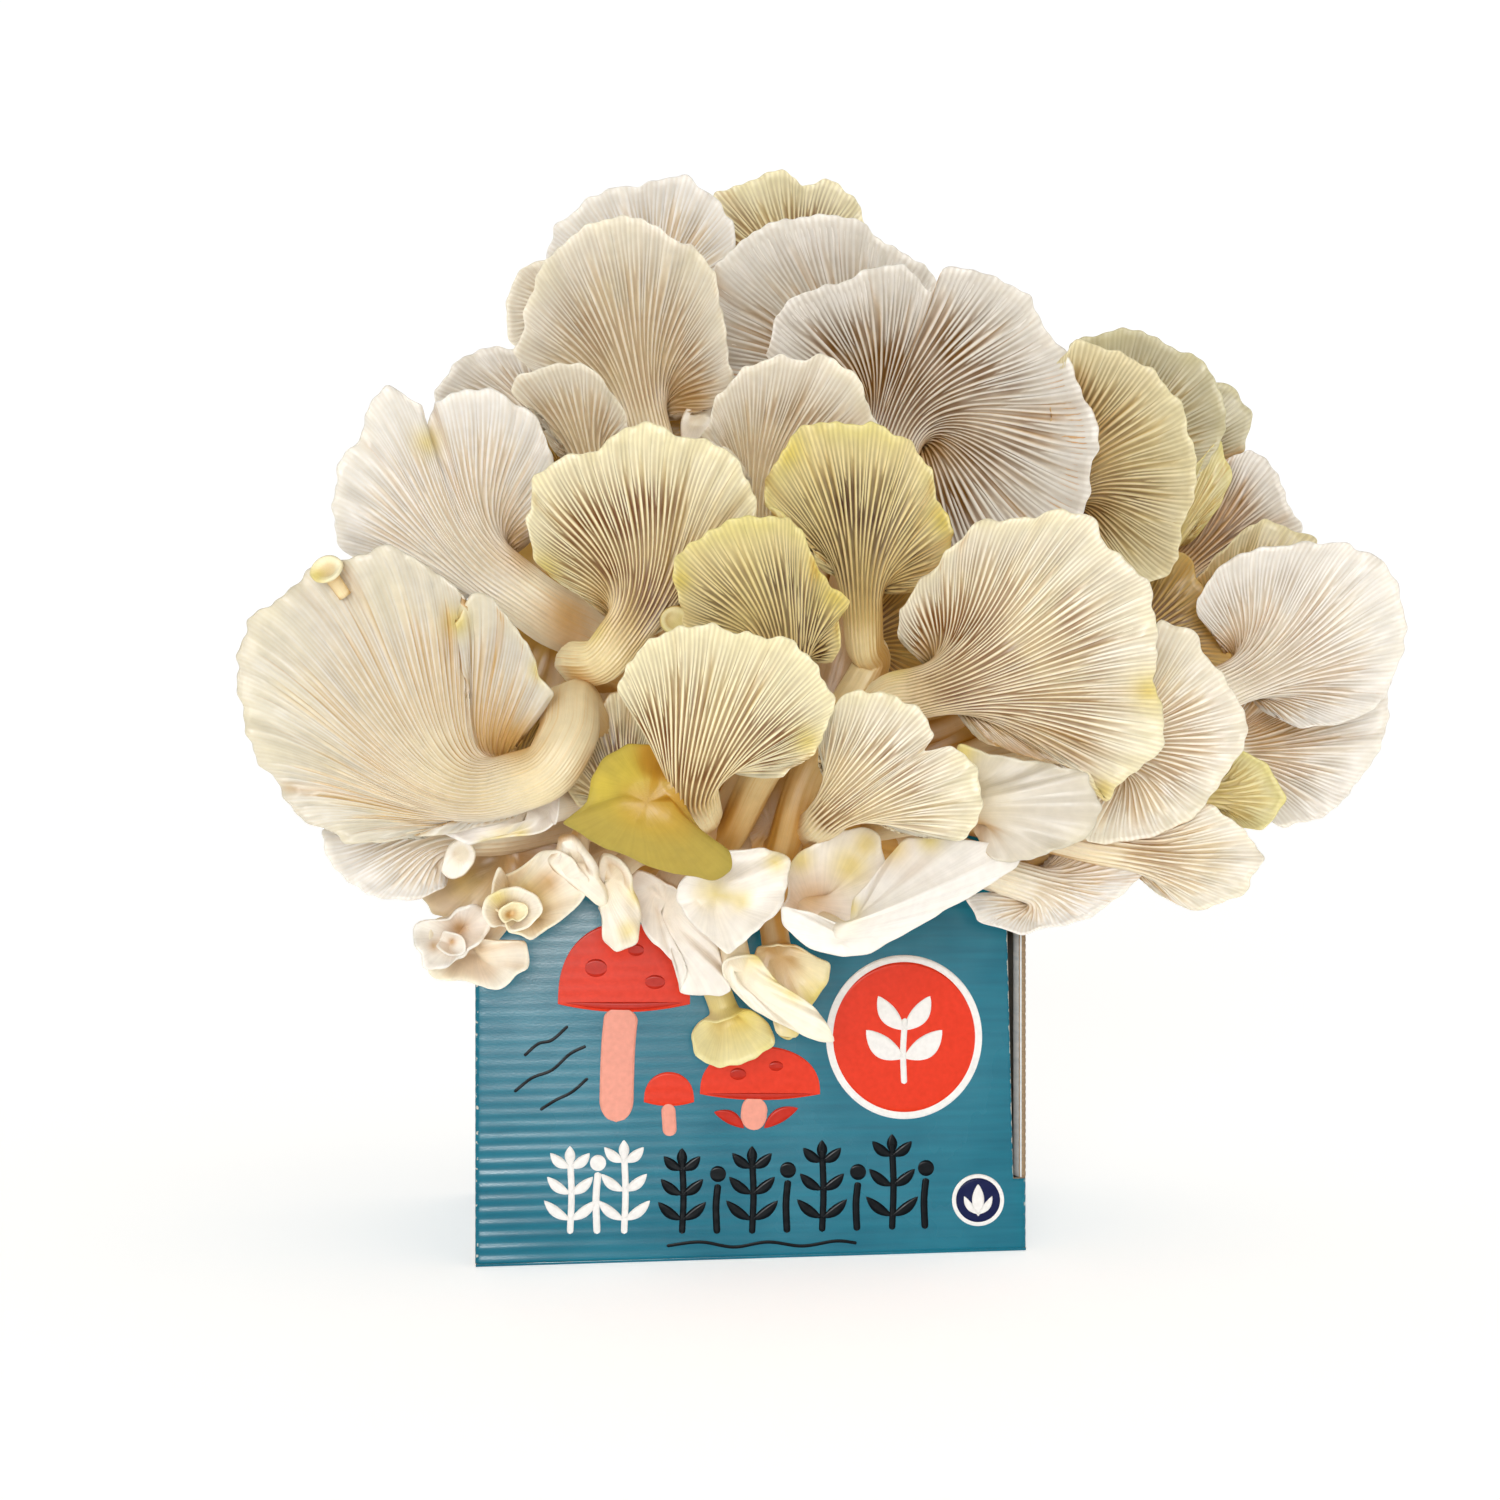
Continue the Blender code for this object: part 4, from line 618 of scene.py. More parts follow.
def rootOf(end):  # the place inside the butts that a stem with this visible end grows from
    middle = np.array([butts["x"], -carton["depth"] / 2 - 8.0, butts["z"]])
    offset = end - middle
    spread = math.hypot(offset[0] / butts["halfX"], offset[2] / butts["halfZ"])
    root = middle + offset * 0.62 / max(spread, 0.62)
    root[1] = middle[1]
    return root


def stemPath(look, centre):
    # the stem's middle line, kept in front of the panel; it leans back only above the carton
    path = np.vstack([centre, [sight(*p) for p in look["stem"]]])
    if look["rooted"]:
        path = np.vstack([path, rootOf(path[-1])])
    length = np.linalg.norm(np.diff(path, axis=0), axis=1).sum()
    along = smoothPath(path, int(np.clip(length / 3.0, 12, 60)))
    nearest = -carton["depth"] / 2 - look["thick"] - 1.0
    above = np.maximum(along[1:-1, 2] - carton["height"] - look["thick"], 0.0)
    along[1:-1, 1] = np.minimum(along[1:-1, 1], nearest + 0.8 * above)
    return along


def waves(turns, length, spans, grow):
    # sines round the cap, one for each span in pixels, with ever smaller heights
    made = 0.0
    for step, span in enumerate(spans):
        count = max(2, round(length / span * grow.uniform(0.85, 1.15)))
        made = made + 0.68**step * np.sin(count * turns + grow.uniform(0, 6.28))
    return made


def stain(points, spots):
    # a bell over the distance on the picture from each spot, the largest of them
    px, py = pixelOf(points)
    bells = [np.exp(-((px - x) ** 2 + (py - y) ** 2) / radius**2) for x, y, radius in spots]
    return np.max(bells, axis=0) if bells else np.zeros(len(points))


def between(step, columns):  # 0 on every step-th column, rising to 1 halfway to the next
    return np.minimum(1.0, 1.25 * (1 - np.abs(2 * (np.arange(columns) / step % 1) - 1)))


def hubFrame(look, along, stemTurn):
    # down the stem, across it on the picture, and the way round that the gills' side faces us
    down = unit(along[1] - along[0])
    side = np.array([math.cos(stemTurn - math.pi / 2), 0.0, math.sin(stemTurn - math.pi / 2)])
    across = unit(side - side.dot(down) * down)
    front = unit(np.cross(across, down))
    turned = -1.0 if (front[1] > 0) != look["back"] else 1.0
    return down, across, turned * front, turned


def upperSide(cap, normal, outward, out, span, look, finest):
    # the other side, with the flesh thicker towards the stem: rings from the margin to the middle,
    # each with its reach, gap and travel, and with fewer points further in
    even = unit(0.4 * normal + 0.6 * unit(normal.reshape(-1, 3).mean(0)))
    atStem = look["thick"] * np.minimum(1, span.T / (3 * look["thick"])) - look["edge"]
    upper = cap - even * (look["edge"] + atStem * (1 - out) ** 2)[..., None]
    turnOver = cap[-1] - even[-1] * look["edge"] / 2 + outward[-1] * 0.4 * look["edge"]
    rings = [(turnOver, 1.0, 0.0, span.mean())]
    picks = np.unique((habit["upperRings"] * (len(cap) - 1)).round().astype(int))[::-1]
    for i, pick in enumerate(picks):
        step = finest if i < 3 else 2 * finest
        rings.append((upper[pick][::step], out[pick, 0], 0.0, span.mean() * (2.02 - out[pick, 0])))
    return rings, upper[picks[-1]].mean(0)


def stemSide(look, along, across, front, ring, fold, valley, lumps):
    # the stem: rings carried along its line without twisting, with the gills running out on it
    # and with lobes and strands of its own, each ring with its reach, gap and travel
    rings, travelled, plain = [], 0.0, look["smooth"] or look["back"]
    for i in range(1, len(along)):
        travelled += np.linalg.norm(along[i] - along[i - 1])
        turnTo = unit(along[i] - along[i - 1])
        across = unit(across - across.dot(turnTo) * turnTo)
        front = unit(front - front.dot(turnTo) * turnTo - front.dot(across) * across)
        step = 1 if travelled < 20 else 2 if travelled < 36 or plain else 4
        angle = ring[::step]
        lobes = 0.035 * np.sin(3 * angle + lumps[0] + travelled / 11)
        lobes = lobes + 0.025 * np.sin(5 * angle + lumps[1] - travelled / 17)
        strands = 0.012 * np.sin(9 * angle + lumps[3] + travelled / 40) + 0.009 * np.sin(14 * angle + lumps[4])
        swell = (lobes + strands + 0.04 * math.sin(travelled / 9 + lumps[2])) * min(1.0, travelled / 15)
        radius = look["thick"] * (1 - 0.2 * i / len(along)) * (1 + swell) - fold[::step] * math.exp(-travelled / 20)
        circle = np.cos(angle)[:, None] * front + np.sin(angle)[:, None] * across
        gap = valley[::step] * (0.0 if plain else 0.6 * math.exp(-travelled / 16))
        rings.append((along[i] + radius[:, None] * circle, -min(1.0, travelled / 60), gap, -travelled))
    return rings[::-1]


def growCap(look, number):
    # For every direction round the hub a cubic Bezier runs from the stem's ring out to the margin:
    # P(out) = neck (1-out)^3 + 3 lift out (1-out)^2 + 3 enter out^2 (1-out) + rim out^3.
    # The gills are folds along its normal: one in every eight columns from the hub, others halfway
    # between them from further out.
    grow = np.random.default_rng(100 + number)
    loop, length, stemTurn = marginLoop(look)
    plain, thick = look["smooth"] or look["back"], look["thick"]
    columns = 8 * max(5, round(length / (habit["plainPitch"] if plain else look["pitch"]) / 4))
    around = np.arange(columns) / columns
    turns = 2 * math.pi * around
    wide = np.vstack([loop, loop[:1]])
    dx, dy = [np.interp(around * marginSamples, np.arange(marginSamples + 1), side) for side in wide.T]
    hubX, hubY, forward = look["hub"]
    share = np.hypot(dx, dy) / np.hypot(dx, dy).max()
    depth = forward + look["lean"] * share + look["across"] * dx / 100 - look["up"] * dy / 100
    centre = sight(hubX, hubY, forward)
    rim = sight(hubX + dx, hubY + dy, depth)
    along = stemPath(look, centre)
    down, across, front, turned = hubFrame(look, along, stemTurn)
    ring = turns + math.pi
    neckOut = np.cos(ring)[:, None] * front + np.sin(ring)[:, None] * across
    neck = centre + thick * neckOut
    size = np.linalg.norm(rim - centre, axis=1)
    flat = np.clip((size - 1.2 * thick) / (2.2 * thick), 0, 1)[:, None]  # 0 where the margin is at the stem
    rim = flat * rim + (1 - flat) * (centre + 1.9 * thick * neckOut - 0.7 * thick * down)
    span = np.linalg.norm(rim - neck, axis=1)[:, None]
    lift = neck - habit["lift"] * span * down
    enter = rim - habit["enter"] * span * unit(rim - centre)
    rows = int(np.clip(span.max() / habit["rowStep"], habit["fewest"], habit["most"]))
    out = (np.linspace(0, 1, rows) ** 0.9)[:, None]
    s = out[..., None]
    cap = neck * (1 - s) ** 3 + 3 * lift * s * (1 - s) ** 2 + 3 * enter * s**2 * (1 - s) + rim * s**3
    alongRim = np.roll(cap, -2, 1) - np.roll(cap, 2, 1)
    outward = unit(np.gradient(cap, axis=0))
    normal = -turned * unit(np.cross(alongRim, outward))
    for step in (1, 2, 4):  # evened round the cap, so that a tight turn of the margin doesn't crease it
        normal = unit(normal + np.roll(normal, step, 1) + np.roll(normal, -step, 1))
    room = flat.T * np.minimum(1, span.T / 40)
    for way, height, power, spans in ((normal, look["ruffle"], 2.2, habit["waves"]),
                                      (outward, look["scallop"], 6, habit["lobes"])):
        cap = cap + way * (height * room * out**power * waves(turns, length, spans, grow))[..., None]

    # gills: valley is 0 on a gill's edge and 1 between two gills
    valley = 0.0 * out + between(8, columns)
    for step, early, late in habit["gillsBegin"]:
        begins = np.repeat(grow.uniform(early, late, columns // step // 2), 2 * step)
        valley = valley + (between(step, columns) - valley) * ease(out, begins, begins + 0.15)
    spacing = np.linalg.norm(alongRim, axis=-1)
    gilled = 0.0 if plain else 1.0
    fade = ease(out, -0.1, 0.12) * (1 - 0.9 * ease(out, 0.92, 1.0)) * gilled
    relief = np.minimum(look["gill"], 0.32 * spacing * (1 + 3 * (1 - out) ** 2)) * fade
    sway = unit(alongRim) * (0.18 * spacing * np.sin(8 * out + grow.uniform(0, 6.28, columns)) * fade)[..., None]
    gills = cap - normal * (relief * valley)[..., None] + sway * (1 - valley)[..., None]

    # one skin from the stem's end over the gills and the margin to the middle of the upper side
    gap = valley * (0.6 + 0.4 * ease(out, 0.0, 0.15)) * gilled
    skin = stemSide(look, along, across, front, ring, relief[0] * valley[0], valley[0], grow.uniform(0, 6.28, 5))
    skin += [(gills[i], out[i, 0], gap[i], out[i, 0] * span.mean()) for i in range(rows)]
    upper, pole = upperSide(cap, normal, outward, out, span, look, 1 if plain else 2)
    skin += upper
    rings = [points for points, _, _, _ in skin]
    reach, gap, travel = [np.concatenate([[start], *[np.broadcast_to(row[part], len(row[0])) for row in skin], [end]])
                          for part, start, end in ((1, -1.0, 0.0), (2, 0.0, 0.0), (3, skin[0][3], 2 * span.mean()))]
    points, faces = closedSkin(rings, along[-1], pole)
    angle = np.concatenate([[0.0], *[2 * math.pi * np.arange(len(r)) / len(r) for r in rings], [0.0]])
    grain = np.column_stack([20 * np.cos(angle), 20 * np.sin(angle), travel + 400.0 * number]) * mm
    values = dict(gap=gap, reach=reach, grain=grain, yellow=0.7 * stain(points, look["yellow"]),
                  ochreShade=0.7 * stain(points, look["ochreShade"]))
    return points, faces, values


def growMushroom(spec, number):
    # the mushroom and its folds, each a closed skin, in one mesh
    spec = {**usualMushroom, **spec}
    grown = [spec] + [{**usualMushroom, "thick": 3.0, "tone": spec["tone"], **fold} for fold in spec["folds"]]
    skins = [growCap(look, number + 60 * i) for i, look in enumerate(grown)]
    points, faces = joined([skin[:2] for skin in skins])
    used = list(dict.fromkeys(look["tone"] for look in grown))
    slots = np.concatenate([np.full(len(skin[1]), used.index(look["tone"])) for skin, look in zip(skins, grown)])
    values = {key: np.concatenate([skin[2][key] for skin in skins]) for key in skins[0][2]}
    return points, faces, values, slots, used


def crowding(skins):
    # How much flesh stands close before each point: every face's area goes into its cell, the cells
    # are blurred by a bell, and each point reads them some way out along its own normal. This sets
    # the painted shade, a brown, where the caps crowd.
    cell, bell, ahead = crowdShade["cell"], crowdShade["bell"], crowdShade["ahead"]
    low = np.min([points.min(0) for points, _ in skins], axis=0) - 10 * cell
    high = np.max([points.max(0) for points, _ in skins], axis=0) + 10 * cell
    shape = np.ceil((high - low) / cell).astype(int)
    cells = np.zeros(shape.prod())
    outs = []
    for points, faces in skins:
        a, b, c = points[faces[:, 0]], points[faces[:, 1]], points[faces[:, 2]]
        areas = np.cross(b - a, c - a) / 2
        place = (((a + b + c) / 3 - low) / cell).astype(int)
        cells += np.bincount(np.ravel_multi_index(place.T, shape), np.linalg.norm(areas, axis=1), len(cells))
        outs.append(unit(np.column_stack([sum(np.bincount(faces[:, k], areas[:, i], len(points)) for k in range(3))
                                          for i in range(3)])))
    cells = cells.reshape(shape)
    steps = np.arange(-3, 4)
    weights = np.exp(-0.5 * (steps * cell / bell) ** 2)
    for axis in range(3):
        cells = sum(weight * np.roll(cells, step, axis) for step, weight in zip(steps, weights / weights.sum()))
    found = []
    for (points, _), out in zip(skins, outs):
        at = (points + ahead * out - low) / cell - 0.5
        base = at.astype(int)
        part = at - base
        read = 0.0
        for corner in np.ndindex(2, 2, 2):
            share = np.prod(np.where(corner, part, 1 - part), axis=1)
            read = read + share * cells[tuple((base + corner).T)]
        found.append(read)
    return found


# the brown where the caps crowd, which these set, is painted shade
crowdShade = dict(cell=5.0, bell=8.0, ahead=13.0, few=5.0, many=18.0, most=0.8)  # mm, mm, mm, mm2, mm2, share
grown = [growMushroom(spec, number) for number, spec in enumerate(mushrooms.values())]
crowded = crowding([(points, faces) for points, faces, _, _, _ in grown])
for (name, spec), (points, faces, values, slots, used), read in zip(mushrooms.items(), grown, crowded):
    values["crowdShade"] = crowdShade["most"] * spec.get("crowdShadeShare", 1.0) * ease(read, crowdShade["few"], crowdShade["many"])
    piece = addMesh(name + "_grown", points, faces, [fleshes[tone] for tone in used], values, slots)
    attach(piece, "root")
    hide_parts(name)
print("mushrooms grown:", len(mushrooms), "with", sum(len(faces) for _, faces, _, _, _ in grown), "triangles")


def growButts():
    # a superellipse carried forwards through stages, each (forward, half width, half height),
    # with bundled stem ends as ribs: radius = 1 + ribs + lumps of the angle and of the way forward
    sides, rings = 200, 56
    turns = 2 * math.pi * np.arange(sides) / sides
    stages = np.array([(-5.0, 65, 22), (0.6, 65, 22), (0.9, 71, 33), (12, 72.5, 33.5), (22, 56, 26),
                       (29, 34, 16), (32.6, 8, 4)], float)
    at = smoothPath(stages, rings)
    wide = np.sign(np.cos(turns)) * np.abs(np.cos(turns)) ** 0.8
    tall = np.sign(np.sin(turns)) * np.abs(np.sin(turns)) ** 0.8
    grow = np.random.default_rng(7)
    swell = 1 + 0 * at[:, :1]
    for count, height in ((5, 0.03), (13, 0.03), (29, 0.02), (57, 0.01)):
        swell = swell + height * np.sin(count * turns + grow.uniform(0, 6.28) + at[:, :1] / grow.uniform(9, 20))
    swell = np.where(at[:, :1] < 0.7, 0.99, swell - 0.03)
    skin = np.stack([butts["x"] + at[:, 1:2] * wide * swell, -carton["depth"] / 2 - at[:, :1] + 0 * wide,
                     butts["z"] + at[:, 2:3] * tall * swell], -1)
    start = np.array([butts["x"], skin[0, 0, 1], butts["z"]])
    end = np.array([butts["x"], -carton["depth"] / 2 - butts["tip"] + 0.2, butts["z"]])
    points, faces = closedSkin(list(skin), start, end)
    reach = np.full(len(points), -0.75)
    angle = np.concatenate([[0.0], np.tile(turns, rings), [0.0]])
    travel = np.concatenate([[0.0], np.repeat(at[:, 0], sides), [40.0]])
    grain = np.column_stack([60 * np.cos(angle), 60 * np.sin(angle), travel]) * mm
    # painted shade on the butts: a steady crowd brown, and ochre in bands round them
    values = dict(reach=reach, grain=grain, gap=np.zeros(len(points)), yellow=np.zeros(len(points)),
                  ochreShade=0.35 + 0.3 * np.sin(13 * angle) ** 2, crowdShade=np.full(len(points), 0.4))
    piece = addMesh("stem_butts_grown", points, faces, [fleshes["tan"]], values)
    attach(piece, "root")
    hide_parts("stem_butts")


growButts()


def myceliumBlock():
    # sawdust overgrown with mycelium and pressed in its thin bag: felted white over brown, dull
    made, tree, shader = newMaterial("mycelium_overgrown_sawdust", roughness=0.75)
    place = put(tree, "ShaderNodeTexCoord").outputs["Object"]
    patch = put(tree, "ShaderNodeTexNoise", {"Vector": place, "Scale": 60.0, "Detail": 5.0}).outputs["Fac"]
    amount = put(tree, "ShaderNodeMapRange", {0: patch, 1: 0.35, 2: 0.6}).outputs[0]
    colour = put(tree, "ShaderNodeMix", {0: amount, 6: linear("#8a6a44"), 7: linear("#e6decd")}, data_type="RGBA")
    bump = put(tree, "ShaderNodeBump", {"Height": patch, "Strength": 0.5, "Distance": 0.001})
    feed(tree, shader, {"Base Color": colour.outputs[2], "Normal": bump.outputs["Normal"]})
    return made


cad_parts["grow_block"].material_slots[0].material = myceliumBlock()
print("stem butts and block done")


def ribs(x, z, folds):
    # how far the liner sinks below the panel's plane: a raised cosine of the height, deeper by the
    # folds and towards the squeezed lower left corner
    spot = carton["squeezed"]
    squeezed = np.exp(-(((x - spot["x"]) / spot["wide"]) ** 2 + ((z - spot["z"]) / spot["tall"]) ** 2))
    uneven = 0.8 + 0.2 * np.sin(x / 19 + 1.7 * np.sin(z / 13))
    height = carton["rib"] + carton["crushed"] * uneven * np.maximum(squeezed, 0.25 * folds)
    return height * (0.5 + 0.5 * np.cos(2 * math.pi * z / carton["flute"]))


def seamEdge(z):  # the front panel's right edge, beside the open seam
    seam = carton["seam"]
    part = np.clip((z - seam["bottom"]) / (seam["top"] - seam["bottom"]), 0, 1)
    return carton["width"] / 2 - carton["board"] - (seam["narrow"] + (seam["wide"] - seam["narrow"]) * part)


def cartonTube():
    # a rounded rectangle carried up the height: (x, y) of the way round, z of the row. The window
    # and the seam are the quads left out. w, d, f: half the width and depth, and the fold's radius
    w, d, f = carton["width"] / 2, carton["depth"] / 2, carton["fold"]
    window, seam = carton["window"], carton["seam"]
    rows = np.linspace(carton["crease"], carton["height"] - carton["crease"], carton["rows"])
    for stop in (seam["bottom"], window["bottom"], seam["top"], window["top"]):
        rows[np.argmin(np.abs(rows - stop))] = stop
    arc = np.linspace(0, math.pi / 2, 5)[1:-1]
    front = np.concatenate([
        np.linspace(f - w, carton["corner"], 5), np.linspace(carton["corner"], window["left"], 7)[1:],
        np.linspace(window["left"], window["right"], 15)[1:],
        np.linspace(window["right"], carton["seamStart"], 5)[1:]])
    spread = -np.cos(np.linspace(0, math.pi, 12))  # columns closer together by the folds

    def column(*place):  # x, y and the way out in x and y, each the same or its own up the height
        return [np.broadcast_to(v, (len(rows), 1)) for v in place]

    edge = seamEdge(rows)[:, None]
    walls = [  # the columns of a wall, its way out, and the middle of the fold that follows it
        ([(x, -d) for x in [*front, edge - carton["wornEdge"], edge, w - f]], (0.0, -1.0), (w - f, f - d)),
        ([(w, y) for y in (d - f) * spread], (1.0, 0.0), (w - f, d - f)),
        ([(x, d) for x in (f - w) * spread], (0.0, 1.0), (f - w, d - f)),
        ([(-w, y) for y in (f - d) * spread], (-1.0, 0.0), (f - w, f - d)),
    ]
    atEdge, atWall = len(front) + 1, len(front) + 3 + len(arc)
    parts = []
    for wall, (ux, uy), (foldX, foldY) in walls:
        parts += [column(x, y, ux, uy) for x, y in wall]
        for a in arc:
            nx, ny = ux * math.cos(a) - uy * math.sin(a), uy * math.cos(a) + ux * math.sin(a)
            parts.append(column(foldX + f * nx, foldY + f * ny, nx, ny))
    x, y, nx, ny = [np.hstack(side) for side in zip(*parts)]
    z = np.broadcast_to(rows[:, None], x.shape)
    folds = np.exp(-(((w - np.abs(x)) ** 2 + (d - np.abs(y)) ** 2) / 9))
    sink = ribs(np.where(ny < -0.5, x, w), z, folds)
    points = np.stack([x - nx * sink, y - ny * sink, z], -1)
    faces = gridFaces(len(rows), x.shape[1], around=True)
    i, j = np.meshgrid(np.arange(len(rows) - 1), np.arange(x.shape[1]), indexing="ij")
    z0, z1, x0, x1, hair = rows[i], rows[i + 1], x[i, j], x[i, (j + 1) % x.shape[1]], 0.01
    inWindow = (z0 >= window["bottom"] - hair) & (z1 <= window["top"] + hair) & (j < atEdge)
    inWindow &= (x0 >= window["left"] - hair) & (x1 <= window["right"] + hair)
    inSeam = (z0 >= seam["bottom"] - hair) & (z1 <= seam["top"] + hair) & (j >= atEdge) & (j < atWall)
    atSeam = (z > seam["bottom"] - 1) & (z < seam["top"] + 1) & (np.arange(x.shape[1]) == atEdge)
    # painted highlights: a pale dot on each flute along the folds, where the crease catches the light; along the seam
    # the pale is wear
    foldGlints = 0.28 + 0.14 * np.cos(2 * math.pi * z / carton["flute"])  # one for each flute
    wornAndGlint = np.maximum(foldGlints * folds * (np.abs(nx * ny) > 0.1), 0.5 * atSeam)
    return points.reshape(-1, 3), faces[~(inWindow | inSeam)], wornAndGlint.ravel()


def cartonFlap(side, top):
    # one flap of the closed top or bottom: a line along the flutes carried over the rounded fold
    # and then inwards to the middle
    w, d = carton["width"] / 2 - carton["flapClear"], carton["depth"] / 2
    h, r = carton["height"], carton["crease"]
    turn = np.linspace(0, math.pi / 2, 7)
    run = np.linspace(0, d - r - carton["slit"] / 2, 60)[1:]
    y = np.concatenate([d - r + r * np.cos(turn), d - r - run])
    z = np.concatenate([h - r + r * np.sin(turn), np.full(len(run), h)])
    sink = carton["rib"] * (0.5 + 0.5 * np.cos(2 * math.pi * y / carton["flute"])) * (y < d - r)
    x = np.linspace(-w, w, 5)
    points = np.stack([np.broadcast_to(x, (len(y), len(x))), np.broadcast_to((side * y)[:, None], (len(y), len(x))),
                       np.broadcast_to((z - sink)[:, None], (len(y), len(x)))], -1)
    if not top:
        points[..., 2] = h - points[..., 2]
    faces = gridFaces(len(y), len(x))
    if (side > 0) == top:
        faces = faces[..., ::-1]
    return points.reshape(-1, 3), faces.reshape(-1, 4)


def printedBoard():
    # corrugated board with a coated liner, printed teal: satin, so the ribs of the flutes catch the
    # light. The coating has worn pale along the cut seam, and pale dots along the folds, one for each flute, are
    # painted highlights
    made, tree, shader = newMaterial("coated_corrugated_board_teal", ior=1.4)
    place = put(tree, "ShaderNodeTexCoord").outputs["Object"]
    cloud = put(tree, "ShaderNodeTexNoise", {"Vector": place, "Scale": 22.0, "Detail": 4.0}).outputs["Fac"]  # 45 mm
    fine = put(tree, "ShaderNodeTexNoise", {"Vector": place, "Scale": 1500.0, "Detail": 3.0}).outputs["Fac"]  # 0.7 mm
    along = put(tree, "ShaderNodeMapping", {"Vector": place, "Scale": (0.06, 0.06, 1.0)}).outputs["Vector"]
    drag = put(tree, "ShaderNodeTexNoise", {"Vector": along, "Scale": 420.0, "Detail": 2.0}).outputs["Fac"]  # 2.4 mm
    wornAndGlint = put(tree, "ShaderNodeAttribute", attribute_name="wornAndGlint").outputs["Fac"]
    spot = put(tree, "ShaderNodeTexNoise", {"Vector": place, "Scale": 700.0, "Detail": 2.0}).outputs["Fac"]  # 1.4 mm
    wornAndGlint = put(tree, "ShaderNodeMath", {0: wornAndGlint, 1: spot}, operation="ADD").outputs[0]
    wornAndGlint = put(tree, "ShaderNodeMapRange", {0: wornAndGlint, 1: 0.86, 2: 1.02, 4: 0.8}).outputs[0]
    amount = put(tree, "ShaderNodeMapRange", {0: cloud, 1: 0.35, 2: 0.65}).outputs[0]
    colour = put(tree, "ShaderNodeMix", {0: amount, 6: linear(carton["tealDark"]), 7: linear(carton["teal"])},
                 data_type="RGBA").outputs[2]
    speck = put(tree, "ShaderNodeMapRange", {0: drag, 1: 0.3, 2: 0.7, 3: 0.0, 4: 0.22}).outputs[0]
    colour = put(tree, "ShaderNodeMix", {0: speck, 6: colour, 7: linear("#1a8a9e")}, data_type="RGBA").outputs[2]
    colour = put(tree, "ShaderNodeMix", {0: wornAndGlint, 6: colour, 7: linear(carton["wornAndGlint"])}, data_type="RGBA").outputs[2]
    height = put(tree, "ShaderNodeMath", {0: fine, 1: drag}, operation="ADD").outputs[0]
    bump = put(tree, "ShaderNodeBump", {"Height": height, "Strength": 0.15, "Distance": 0.0002})
    rough = put(tree, "ShaderNodeMapRange", {0: cloud, 1: 0.3, 2: 0.7, 3: 0.2, 4: 0.3}).outputs[0]
    feed(tree, shader, {"Base Color": colour, "Roughness": rough, "Normal": bump.outputs["Normal"],
                        "Specular IOR Level": 0.28})
    return made


def paperFace(name, pale, dark, streak):
    # bare recycled paper, rolled: dull, with fibres lying along the machine's direction
    made, tree, shader = newMaterial(name, roughness=0.85)
    place = put(tree, "ShaderNodeTexCoord").outputs["Object"]
    along = put(tree, "ShaderNodeMapping", {"Vector": place, "Scale": (0.25, 0.25, 1.0)}).outputs["Vector"]
    fibre = put(tree, "ShaderNodeTexNoise", {"Vector": along, "Scale": streak, "Detail": 4.0}).outputs["Fac"]
    colour = put(tree, "ShaderNodeMix", {0: fibre, 6: linear(dark), 7: linear(pale)}, data_type="RGBA").outputs[2]
    bump = put(tree, "ShaderNodeBump", {"Height": fibre, "Strength": 0.3, "Distance": 0.0002})
    feed(tree, shader, {"Base Color": colour, "Normal": bump.outputs["Normal"]})
    return made


innerLiner = paperFace("recycled_paper_liner", carton["liner"], "#6f6858", 900.0)
rawEdge = paperFace("cut_corrugated_edge_kraft", "#a58a66", carton["kraft"], 1400.0)
paleEdge = paperFace("coated_liner_white", "#f1efeb", "#a9b7bd", 500.0)


def buildCarton():
    tube, tubeFaces, wornAndGlint = cartonTube()
    flaps = [cartonFlap(side, top) for side in (-1, 1) for top in (True, False)]
    points, faces = joined([(tube, tubeFaces)] + flaps)
    wornAndGlint = np.concatenate([wornAndGlint, np.zeros(len(points) - len(wornAndGlint))])
    used = np.unique(faces)  # the window and the seam leave points that no face uses
    places = np.zeros(len(points), int)
    places[used] = np.arange(len(used))
    piece = addMesh("carton_board", points[used], places[faces], [printedBoard(), innerLiner, rawEdge],
                    dict(wornAndGlint=wornAndGlint[used]))
    wall = thicken(piece, "board", carton["board"] - 0.05)
    wall.material_offset, wall.material_offset_rim = 1, 2
    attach(piece, "root")
    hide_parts("carton")


